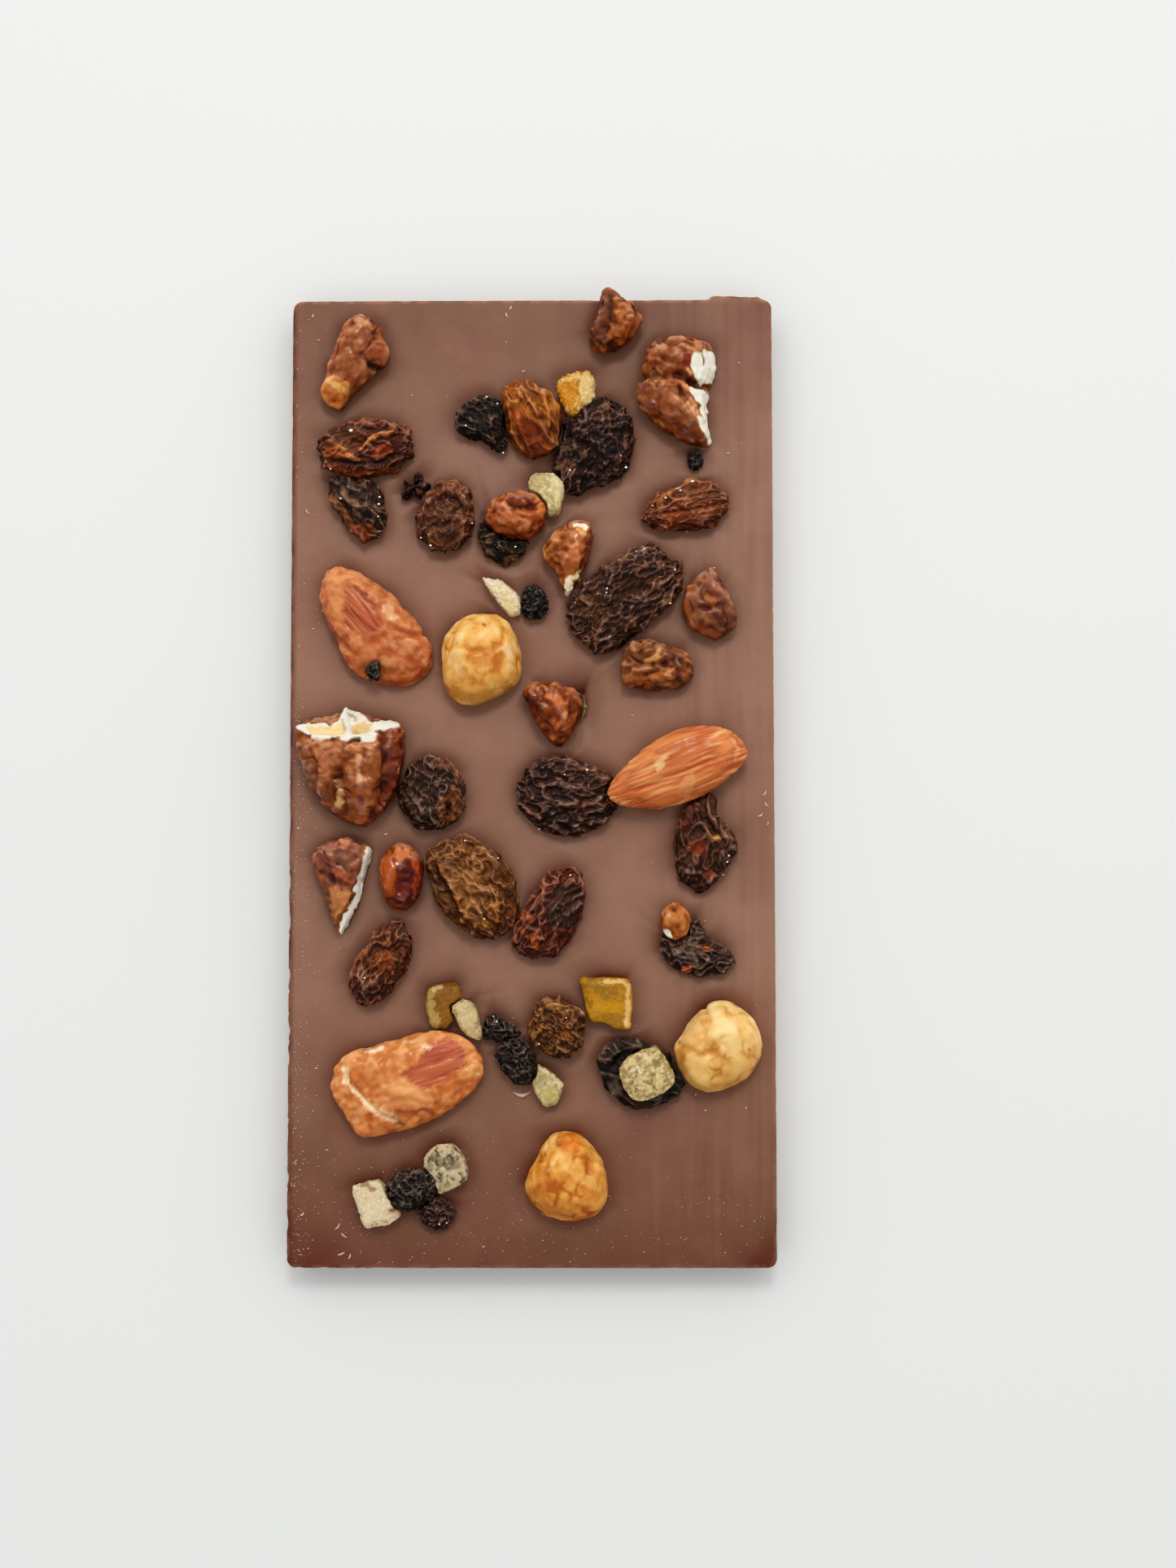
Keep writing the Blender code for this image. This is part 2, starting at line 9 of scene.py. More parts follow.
import bpy
import numpy as np
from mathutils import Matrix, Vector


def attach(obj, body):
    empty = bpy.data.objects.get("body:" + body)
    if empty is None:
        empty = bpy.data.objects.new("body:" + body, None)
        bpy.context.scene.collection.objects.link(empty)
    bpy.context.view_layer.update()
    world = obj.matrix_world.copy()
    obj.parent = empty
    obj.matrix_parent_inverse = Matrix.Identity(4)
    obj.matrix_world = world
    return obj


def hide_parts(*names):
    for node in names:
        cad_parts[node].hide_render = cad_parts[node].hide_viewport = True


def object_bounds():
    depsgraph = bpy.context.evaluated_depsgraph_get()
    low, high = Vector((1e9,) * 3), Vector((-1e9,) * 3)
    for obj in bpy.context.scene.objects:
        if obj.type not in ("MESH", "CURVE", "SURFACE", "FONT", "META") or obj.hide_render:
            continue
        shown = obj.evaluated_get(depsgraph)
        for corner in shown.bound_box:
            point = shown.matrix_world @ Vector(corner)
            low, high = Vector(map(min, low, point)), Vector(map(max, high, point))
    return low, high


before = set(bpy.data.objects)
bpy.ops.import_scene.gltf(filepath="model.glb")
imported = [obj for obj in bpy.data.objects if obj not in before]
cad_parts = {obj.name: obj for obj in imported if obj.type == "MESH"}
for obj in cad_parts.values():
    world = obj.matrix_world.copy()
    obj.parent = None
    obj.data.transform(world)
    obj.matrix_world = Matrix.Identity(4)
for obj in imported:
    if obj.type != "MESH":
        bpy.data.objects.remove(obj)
cad_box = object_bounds()

# The view. The bar lies face up on a pale table and is looked at from straight above its middle. The light
# is a wide soft window beyond its far edge with a lamp by it, in a room that is paler there and dim overhead.
MM = 0.001
CAMERA_PLACE = (13.2, -24.0, 378.9)
CAMERA_TURN = (0.0616, 0.0106, -0.0011)
CAMERA_LENS = 52.0
WINDOW_PLACE = (5.0, 460.0, 720.0)
WINDOW_SIZE = (1000.0, 560.0)
WINDOW_POWER = 0.9
LAMP_PLACE = (40.0, 440.0, 760.0)
LAMP_SIZE = (190.0, 190.0)
LAMP_POWER = 1.6
ROOM_LOW = 0.50
ROOM_HIGH = 1.03
OVERHEAD = 0.6
LIGHT_COLOUR = (1.0, 0.985, 0.96)
AIR_COLOUR = (0.985, 0.995, 1.0, 1.0)
TABLE_SIZE = 6000.0
TABLE_COLOUR = (0.82, 0.83, 0.815, 1.0)


class Paint:
    """A node tree, or one value in it. Python's operators on a value add Math nodes to its tree."""

    def __init__(self, tree, socket=None, place=None):
        self.tree = tree
        self.socket = socket
        self.place = place

    def node(self, kind, settings, values, out=0):
        """Adds a node: its settings first, then a number, a colour or a link for each socket named."""
        made = self.tree.nodes.new(kind)
        for setting, value in settings.items():
            if setting == "stops":
                for number, (place, colour) in enumerate(value):
                    if number >= len(made.color_ramp.elements):
                        made.color_ramp.elements.new(place)
                    made.color_ramp.elements[number].position = place
                    made.color_ramp.elements[number].color = colour
            else:
                setattr(made, setting, value)
        for name, value in values.items():
            if isinstance(value, Paint):
                self.tree.links.new(value.socket, made.inputs[name])
            else:
                made.inputs[name].default_value = value
        return Paint(self.tree, made.outputs[out], self.place)

    def maths(self, operation, first, second):
        return self.node("ShaderNodeMath", {"operation": operation}, {0: first, 1: second})

    def __add__(self, other):
        return self.maths("ADD", self, other)

    def __sub__(self, other):
        return self.maths("SUBTRACT", self, other)

    def __rsub__(self, other):
        return self.maths("SUBTRACT", other, self)

    def __mul__(self, other):
        return self.maths("MULTIPLY", self, other)

    __radd__ = __add__
    __rmul__ = __mul__

    def feeds(self, socket):
        self.tree.links.new(self.socket, socket)


def srgb(red, green, blue):
    """A screen colour, 0 to 255 each, as the linear colour that a shader takes."""
    shares = [level / 255 for level in (red, green, blue)]
    return (*[s / 12.92 if s <= 0.04045 else ((s + 0.055) / 1.055) ** 2.4 for s in shares], 1.0)


def rise(value, low, high):
    """0 up to low, 1 from high, and an S-shaped ramp between."""
    return value.node("ShaderNodeMapRange", {"interpolation_type": "SMOOTHSTEP"},
                      {"Value": value, "From Min": low, "From Max": high})


camera = bpy.data.objects.new("camera", bpy.data.cameras.new("camera"))
camera.location = [distance * MM for distance in CAMERA_PLACE]
camera.rotation_euler = CAMERA_TURN
camera.data.lens = CAMERA_LENS
camera.data.clip_start = 0.02
bpy.context.scene.collection.objects.link(camera)
bpy.context.scene.camera = camera
bpy.context.scene.view_settings.view_transform = "Standard"

for name, place, size, power in (("window", WINDOW_PLACE, WINDOW_SIZE, WINDOW_POWER),
                                 ("lamp", LAMP_PLACE, LAMP_SIZE, LAMP_POWER)):
    light = bpy.data.objects.new(name, bpy.data.lights.new(name, "AREA"))
    light.data.shape = "RECTANGLE"
    light.data.size, light.data.size_y = [side * MM for side in size]
    light.data.energy = power
    light.data.color = LIGHT_COLOUR
    light.location = [distance * MM for distance in place]
    light.rotation_euler = light.location.to_track_quat("Z", "Y").to_euler()
    light.visible_camera = False
    bpy.context.scene.collection.objects.link(light)

room = bpy.data.worlds.new("room")
room.use_nodes = True
bpy.context.scene.world = room
air = Paint(room.node_tree)
looking = air.node("ShaderNodeTexCoord", {}, {}, "Generated")
beyond, upward = (looking.node("ShaderNodeSeparateXYZ", {}, {0: looking}, axis) for axis in (1, 2))
brightness = rise(upward * 0.75 + beyond * 0.45, -0.45, 1.0) * (ROOM_HIGH - ROOM_LOW) + ROOM_LOW
brightness = brightness * (1 - rise(upward, 0.87, 0.95) * OVERHEAD)
backdrop = room.node_tree.nodes["Background"]
backdrop.inputs["Color"].default_value = AIR_COLOUR
brightness.feeds(backdrop.inputs["Strength"])

bpy.ops.mesh.primitive_plane_add(size=TABLE_SIZE * MM)
table = bpy.context.object
table.name = "table"
table_finish = bpy.data.materials.new("table")
table_finish.use_nodes = True
table_surface = table_finish.node_tree.nodes["Principled BSDF"].inputs
table_surface["Base Color"].default_value = TABLE_COLOUR
table_surface["Roughness"].default_value = 0.75
table.data.materials.append(table_finish)


# The chocolate slab. Milk chocolate is poured level in a plain tray mould and sets with a satin face, which
# sags to each piece pressed into it. The sides keep the mould's draft, and the edges crumble a little.
FACE = 6.5
HALF_WIDTH, HALF_LENGTH = 40.0, 80.0
DRAFT = 0.9
CORNER = 1.6
LIP = 0.3
BASE_RADIUS = 0.8
COLUMNS, ROWS = 176, 352
PRESS_GAP = 0.3
EDGE_DIRECTIONS = 90
EDGE_DROP = 0.15
SAG_DEPTH, SAG_WIDTH = 0.40, 1.6
SHADE_WIDTH = 1.6
POCKET_START, POCKET_RUN = 0.55, 1.4
TOPPINGS = sorted(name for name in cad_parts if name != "chocolate_slab")


def grain(places, seed):
    """Smooth noise, about -1 to 1: every corner of a unit lattice has a random slope, and a place takes the
    heights of its cell's eight slopes, faded into each other by the curve 6t^5 - 15t^4 + 10t^3."""
    places = np.asarray(places, np.float32)
    cell = np.floor(places)
    inside = places - cell
    cell = cell.astype(np.int64)
    fade = inside ** 3 * (inside * (inside * 6 - 15) + 10)
    total = np.zeros(places.shape[:-1], np.float32)
    for corner in np.ndindex(2, 2, 2):
        index = cell + np.array(corner)
        mixed = (index[..., 0] * 374761393 + index[..., 1] * 668265263 + index[..., 2] * 1440662683
                 + seed * 1274126177) & 0xFFFFFFFF
        mixed = ((mixed ^ (mixed >> 13)) * 1103515245) & 0xFFFFFFFF
        mixed = ((mixed ^ (mixed >> 16)) * 2246822519) & 0xFFFFFFFF
        mixed = mixed ^ (mixed >> 15)
        away = inside - np.array(corner, np.float32)
        height = sum(away[..., axis] * (((mixed >> (10 * axis)) & 1023).astype(np.float32) / 511.5 - 1)
                     for axis in range(3))
        share = np.prod(np.where(corner, fade, 1 - fade), axis=-1)
        total += height * share
    return total * 1.6


def smooth(value, low, high):
    """0 up to low, 1 from high, and 3t^2 - 2t^3 between."""
    t = np.clip((value - low) / (high - low), 0, 1)
    return t * t * (3 - 2 * t)


def triangles_of(node):
    """The corners of a CAD solid's triangles, in millimetres."""
    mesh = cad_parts[node].data
    mesh.calc_loop_triangles()
    corners = np.empty(len(mesh.vertices) * 3)
    mesh.vertices.foreach_get("co", corners)
    order = np.empty(len(mesh.loop_triangles) * 3, np.int32)
    mesh.loop_triangles.foreach_get("vertices", order)
    return corners.reshape(-1, 3)[order].reshape(-1, 3, 3) / MM


def own_axes(triangles):
    """A solid's centre of volume, its long, cross and upright axes, and its half size along each. The long
    axis is the level direction in which its surface spreads the most."""
    volumes = np.einsum("ij,ij->i", triangles[:, 0], np.cross(triangles[:, 1], triangles[:, 2]))
    centre = (triangles.sum(1) * volumes[:, None]).sum(0) / (4 * volumes.sum())
    first, second = triangles[:, 1] - triangles[:, 0], triangles[:, 2] - triangles[:, 0]
    areas = np.linalg.norm(np.cross(first, second), axis=1)
    spread = (triangles.mean(1) - centre)[:, :2]
    along = np.linalg.eigh((spread * areas[:, None]).T @ spread)[1][:, 1]
    axes = np.array([(along[0], along[1], 0), (-along[1], along[0], 0), (0, 0, 1)])
    reach = (triangles.reshape(-1, 3) - centre) @ axes.T
    return centre, axes, (reach.max(0) - reach.min(0)) / 2


def way_out(triangles, start, rays):
    """How far each ray runs from a point inside a solid to the nearest crossing of its surface: every ray is
    tried against every triangle at once, and a miss is not a number."""
    first = triangles[:, 1] - triangles[:, 0]
    second = triangles[:, 2] - triangles[:, 0]
    offset = start - triangles[:, 0]
    across_first = np.cross(offset, first)
    facing = rays @ np.cross(second, first).T
    facing = np.where(np.abs(facing) < 1e-12, 1e-12, facing)
    share_first = (rays @ np.cross(second, offset).T) / facing
    share_second = (rays @ across_first.T) / facing
    distance = np.einsum("ij,ij->i", second, across_first) / facing
    slack = 1e-5
    hit = (share_first > -slack) & (share_second > -slack) & (share_first + share_second < 1 + slack)
    nearest = np.where(hit & (distance > slack), distance, np.inf).min(1)
    return np.where(np.isfinite(nearest), nearest, np.nan)


def footprints(x, y):
    """Where the toppings stand in the face. Returns how far each place lies outside the nearest one, less
    than 0 inside it, and how deep that one is pressed in there. A topping's edge is its reach in even
    directions from its middle, measured just below the face's own level."""
    outside = np.full(x.shape, 99.0)
    pocket = np.zeros(x.shape)
    turns = np.linspace(0, math.tau, EDGE_DIRECTIONS, endpoint=False)
    level = FACE - EDGE_DROP
    for name in TOPPINGS:
        triangles = triangles_of(name)
        lowest = triangles[..., 2].min()
        if lowest > level - 0.1:
            continue
        middle = own_axes(triangles)[0]
        start = np.array([middle[0], middle[1], level])
        rays = np.stack([np.cos(turns), np.sin(turns), np.zeros(EDGE_DIRECTIONS)], 1)
        reach = np.nan_to_num(way_out(triangles, start, rays), nan=0.5)
        reach = (np.roll(reach, 1) + 2 * reach + np.roll(reach, -1)) / 4
        lean = (np.roll(reach, -1) - np.roll(reach, 1)) / (2 * math.tau / EDGE_DIRECTIONS)
        turn = np.arctan2(y - middle[1], x - middle[0])
        edge = np.interp(turn, turns, reach, period=math.tau)
        slant = np.interp(turn, turns, lean, period=math.tau) / edge
        gap = (np.hypot(x - middle[0], y - middle[1]) - edge) / np.sqrt(1 + slant ** 2)
        outside = np.minimum(outside, gap)
        sunk = (FACE - lowest + PRESS_GAP) * smooth(-gap, POCKET_START, POCKET_START + POCKET_RUN)
        pocket = np.maximum(pocket, sunk)
    return outside, pocket


def face_relief(x, y, outside, pocket):
    """Height of the poured face above its level: slow waves and fine drawn streaks, less a sag beside the
    toppings that falls off as exp(-(distance / width)^2) with an uneven width, less the toppings' pockets
    and the low bands at the left and near edges, with raised flow lines beside the mould."""
    flat = np.stack([x, y, np.zeros(x.shape)], -1)
    waves = 0.09 * grain(flat / (26, 38, 1), 3) + 0.035 * grain(flat / (9, 16, 1), 4)
    uneven = 1 + 0.55 * grain(flat / 4.5, 5) + 0.25 * grain(flat / 2.0, 6)
    sag = SAG_DEPTH * uneven * np.exp(-(np.clip(outside, 0, None) / (SAG_WIDTH * (0.7 + 0.4 * uneven))) ** 2)
    left_band = 0.16 * smooth(-x, 36.6, 39.6)
    line = 0.06 * np.exp(-((x + 36.8 + 0.25 * grain(flat / 15.0, 7)) / 0.35) ** 2)
    swirl = 0.0
    for number, (shift, strength) in enumerate([(0.0, 0.10), (-1.1, 0.05)]):
        swirl_x = 37.3 + shift + 0.9 * np.sin(y / 9.0) + 0.5 * grain(flat / (40, 12, 1), 8 + number)
        wire = np.exp(-((x - swirl_x) / 0.4) ** 2)
        swirl = swirl + strength * wire * smooth(y, -8, 4) * (1 - smooth(y, 40, 52))
    near_end = 0.12 * smooth(-y, 75.5, 79.5)
    drawn = 0.03 * grain(flat / (0.9, 22, 1), 10) * smooth(x, 20, 34)
    return waves - sag - left_band + line + swirl + drawn - near_end - pocket


def rounded(x, y):
    """Pushes the corners of a rectangular grid in to rounded ones: in each corner's square, the largest of
    the two offsets becomes the distance from the corner's own centre."""
    inner = np.stack([np.clip(x, CORNER - HALF_WIDTH, HALF_WIDTH - CORNER),
                      np.clip(y, CORNER - HALF_LENGTH, HALF_LENGTH - CORNER)], -1)
    offset = np.stack([x, y], -1) - inner
    length = np.linalg.norm(offset, axis=-1)
    size = np.abs(offset).max(-1) / np.where(length > 0, length, 1)
    return inner + offset * size[..., None]


def add_mesh(name, points, faces, marks, finish, slot, smooth_faces=True):
    """One piece from its points in millimetres and its faces, all of one size or a list of such arrays. Marks
    are numbers or colours kept for each point, which its finish reads."""
    groups = faces if isinstance(faces, list) else [faces]
    mesh = bpy.data.meshes.new(name)
    points = np.clip(points, np.array(cad_box[0]) / MM, np.array(cad_box[1]) / MM) * MM
    mesh.vertices.add(len(points))
    mesh.vertices.foreach_set("co", points.astype(np.float32).ravel())
    order = np.concatenate([group.ravel() for group in groups]).astype(np.int32)
    sizes = np.concatenate([np.full(len(group), group.shape[1]) for group in groups])
    mesh.loops.add(len(order))
    mesh.loops.foreach_set("vertex_index", order)
    mesh.polygons.add(len(sizes))
    starts = np.concatenate([[0], np.cumsum(sizes)[:-1]]).astype(np.int32)
    mesh.polygons.foreach_set("loop_start", starts)
    mesh.update(calc_edges=True)
    mesh.polygons.foreach_set("use_smooth", np.full(len(sizes), smooth_faces))
    for mark, values in marks.items():
        kind, field = ("FLOAT_COLOR", "color") if values.ndim == 2 else ("FLOAT", "value")
        mesh.attributes.new(mark, kind, "POINT").data.foreach_set(field, values.astype(np.float32).ravel())
    mesh.materials.append(finish)
    piece = bpy.data.objects.new(name, mesh)
    bpy.context.scene.collection.objects.link(piece)
    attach(piece, "root")
    return piece


def new_finish(name, even):
    """A material, a Paint for its nodes that knows the place on the piece in millimetres, and its surface's
    sockets, the even ones set."""
    material = bpy.data.materials.new(name)
    material.use_nodes = True
    surface = material.node_tree.nodes["Principled BSDF"].inputs
    for socket, value in even.items():
        surface[socket].default_value = value
    paint = Paint(material.node_tree)
    metres = paint.node("ShaderNodeTexCoord", {}, {}, "Object")
    paint.place = paint.node("ShaderNodeVectorMath", {"operation": "SCALE"}, {0: metres, "Scale": 1 / MM})
    return material, paint, surface


def cloud(paint, size, detail=2.0, shift=0.0):
    """Soft noise, 0 to 1, whose blobs are about that many millimetres wide."""
    return paint.node("ShaderNodeTexNoise", {"noise_dimensions": "4D"},
                      {"Vector": paint.place, "W": shift, "Scale": 1 / size, "Detail": detail,
                       "Roughness": 0.6})


def between(factor, first, second):
    """The first colour where the factor is 0 and the second where it is 1."""
    return factor.node("ShaderNodeMix", {"data_type": "RGBA"}, {0: factor, 6: first, 7: second}, 2)


def mark(paint, name):
    """A number kept in the mesh for each of its points."""
    return paint.node("ShaderNodeAttribute", {"attribute_name": name}, {}, "Fac")


def bumps(height, distance, surface):
    """Fine relief: the height, 0 to 1, stands for that many millimetres."""
    raised = height.node("ShaderNodeBump", {}, {"Height": height, "Distance": distance * MM})
    raised.feeds(surface["Normal"])


def chocolate_finish():
    """Brown, redder and darker beside the toppings in painted shade and along the left edge, the near end and
    the near corners, paler in the middle and in patches and streaks, with fine dust, and a paler edge that is
    partly wear and partly a painted highlight."""
    material, paint, surface = new_finish("milk_chocolate", {"IOR": 1.47, "Specular IOR Level": 0.22})
    shade_and_dark_edges, paling, lip_wear_and_highlight = (mark(paint, key) for key in ("shade_and_dark_edges", "paling", "lip_wear_and_highlight"))
    body = between(rise(cloud(paint, 14.0, 3.0), 0.36, 0.64), srgb(118, 72, 54), srgb(116, 77, 52))
    patches = rise(cloud(paint, 9.0, 4.0, 4.0), 0.35, 0.75) * 0.26
    body = between(paling + patches - 0.1, body, srgb(157, 114, 93))
    # Painted shade beside the toppings, and darker along the left edge, the near end and the near corners.
    body = between(shade_and_dark_edges * 0.95, body, srgb(86, 30, 6))
    specks = rise(cloud(paint, 0.42, 1.0, 9.0), 0.76, 0.84) * 0.3
    body = between(specks, body, srgb(166, 128, 104))
    # Pale lip: wear in patches, and a painted highlight along the far edge.
    between(lip_wear_and_highlight, body, srgb(172, 116, 80)).feeds(surface["Base Color"])
    (cloud(paint, 6.0, 3.0, 2.0) * 0.12 + lip_wear_and_highlight * 0.2 + 0.38).feeds(surface["Roughness"])
    bumps(cloud(paint, 0.9, 3.0, 1.0) * 0.6 + cloud(paint, 0.25, 1.0, 5.0) * 0.4, 0.014, surface)
    return material


def make_slab():
    """The face is a grid with rounded corners. Its border carries a profile of inset and height down the
    lip, the drafted side and the base radius, and a last point closes the underside. The mark of painted
    shade falls off beside each topping as exp(-distance / width), and is strongest on the far left of one,
    where the face slopes away from the window; the same mark darkens the left edge, the near end and the
    near corners. The paling is strongest in the middle, fades towards the near end and is drawn out in
    streaks, and the lip is pale in patches of wear, and more along the far edge as a painted highlight."""
    across_share, along_share = np.meshgrid(np.linspace(-1, 1, COLUMNS + 1), np.linspace(-1, 1, ROWS + 1))
    plan = rounded(across_share * HALF_WIDTH, along_share * HALF_LENGTH)
    x, y = plan[..., 0], plan[..., 1]
    index = np.arange(x.size).reshape(x.shape)
    border = np.concatenate([index[0, :-1], index[:-1, -1], index[-1, :0:-1], index[:0:-1, 0]])
    rim_x, rim_y = x.ravel()[border].copy(), y.ravel()[border].copy()
    core_x = np.clip(rim_x, CORNER - HALF_WIDTH, HALF_WIDTH - CORNER)
    core_y = np.clip(rim_y, CORNER - HALF_LENGTH, HALF_LENGTH - CORNER)
    outward = np.stack([rim_x - core_x, rim_y - core_y], 1)
    outward /= np.linalg.norm(outward, axis=1)[:, None]
    rim = np.stack([rim_x, rim_y, np.zeros(len(rim_x))], 1)
    crumbling = smooth(-rim_x, 20, 40) * smooth(10 - rim_y, 0, 40) * 0.8 + 0.25
    chipped = 0.05 + crumbling * (0.22 * smooth(grain(rim / 3.0, 21), 0.05, 0.6)
                                  + 0.16 * smooth(grain(rim / 1.1, 22), 0.1, 0.7))
    top_edge = smooth(rim_y, 79.0, 79.9)
    spilled = smooth(rim_x, 29.2, 30.2) * (1 - smooth(rim_x, 37.6, 38.6))
    spilled = spilled * (0.5 + 0.2 * grain(rim / 1.5, 23))
    chipped = chipped - top_edge * spilled
    shrink = 1 - LIP / HALF_WIDTH, 1 - LIP / HALF_LENGTH
    x, y = x * shrink[0], y * shrink[1]
    outside, pocket = footprints(x, y)
    face = np.stack([x, y, FACE + face_relief(x, y, outside, pocket)], -1).reshape(-1, 3)
    face[border, :2] = rim[:, :2] - outward * (LIP + chipped)[:, None]
    edge_height = face[border, 2]
    lip_turns = np.linspace(0, math.pi / 2, 4)[1:]
    base_turns = np.linspace(0, math.pi / 2, 5)
    profile = [(LIP * (1 - math.sin(turn)), -LIP * (1 - math.cos(turn)), 1.0) for turn in lip_turns]
    walls = [(DRAFT * (1 - z / FACE), z) for z in (4.9, 3.4, 2.0)]
    walls += [(DRAFT + BASE_RADIUS * (1 - math.cos(turn)), BASE_RADIUS * (1 - math.sin(turn)))
              for turn in base_turns]
    rings = []
    for inset, drop, share in profile:
        ring = rim.copy()
        ring[:, :2] -= outward * (inset + chipped * share)[:, None]
        ring[:, 2] = edge_height + drop
        rings.append(ring)
    for inset, height in walls:
        ring = rim.copy()
        ring[:, :2] -= outward * (inset + chipped * smooth(height, 2.5, 6.0))[:, None]
        ring[:, 2] = height
        rings.append(ring)
    for share in (0.7, 0.35):
        ring = rings[-1].copy()
        ring[:, :2] *= share
        rings.append(ring)
    points = np.concatenate([face, *rings, [(0.0, 0.0, 0.0)]])
    quads = np.stack([index[:-1, :-1], index[:-1, 1:], index[1:, 1:], index[1:, :-1]], -1).reshape(-1, 4)
    firsts = [len(face) + number * len(border) for number in range(len(rings))]
    loops = [border] + [first + np.arange(len(border)) for first in firsts]
    sides = np.concatenate([np.stack([np.roll(upper, -1), upper, lower, np.roll(lower, -1)], 1)
                            for upper, lower in zip(loops, loops[1:])])
    last = loops[-1]
    fan = np.stack([np.roll(last, -1), last, np.full(len(last), len(points) - 1)], 1)
    flat = points * (1, 1, 0)
    shade_and_dark_edges = np.zeros(len(points))
    uneven = 0.95 + 0.35 * grain(flat[:len(face)] / 4.5, 5)
    # Painted shade: strongest on the side of each topping where the face slopes away from the window.
    shade_reach = np.exp(-np.clip(outside, 0, None) / SHADE_WIDTH)
    rightward, farther = np.gradient(outside, axis=1), np.gradient(outside, axis=0)
    turned_away = (0.9 * farther - 0.45 * rightward) / np.maximum(np.hypot(rightward, farther), 1e-6)
    shade_and_dark_edges[:len(face)] = uneven * (shade_reach * (0.3 + 0.8 * smooth(turned_away, -0.1, 0.8))).ravel()
    across, along = flat[:, 0], flat[:, 1]
    # Darker along the left edge, the near end and the near corners.
    dark_edges = 0.9 * smooth(-across, 38.8, 39.8) + 0.35 * smooth(-along, 70.0, 79.5)
    dark_edges += 0.6 * smooth(-across - along, 102, 118) + 0.5 * smooth(across - along, 106, 118)
    shade_and_dark_edges = np.maximum(shade_and_dark_edges, np.clip(dark_edges * (1 + 0.5 * grain(flat / 5.0, 28)), 0, 1))
    # Paler in the middle, less towards the far end and least at the near end, with drawn streaks.
    paling = smooth(along, -88, -25) * (0.75 - 0.5 * smooth(along, 45, 80)) - 0.04
    paling -= 0.2 * smooth(-across, 22, 36) * smooth(-along, 30, 60)
    streaks = 0.2 * grain(flat / (1.1, 24, 1), 24) * smooth(across, 12, 30)
    paling += streaks + 0.1 * grain(flat / (6, 20, 1), 25)
    edge = np.minimum(HALF_WIDTH - np.abs(points[:, 0]), HALF_LENGTH - np.abs(points[:, 1]))
    rubbed = smooth(grain(flat / 2.4, 26) + 0.5 * grain(flat / 0.8, 27), -0.3, 0.3)
    # Stronger along the far edge: a painted highlight on the lip facing the window.
    rubbed *= 0.35 + 0.65 * smooth(points[:, 1], 78, 79.5)
    lip_wear_and_highlight = 0.75 * rubbed * (1 - smooth(edge, 0.35, 0.75)) * smooth(points[:, 2], 5.4, 6.1)
    slab = add_mesh("slab", points, [quads, sides, fan],
                    {"shade_and_dark_edges": shade_and_dark_edges, "paling": np.clip(paling, 0, 1), "lip_wear_and_highlight": lip_wear_and_highlight},
                    chocolate_finish(), "milk_chocolate")
    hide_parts("chocolate_slab")


make_slab()


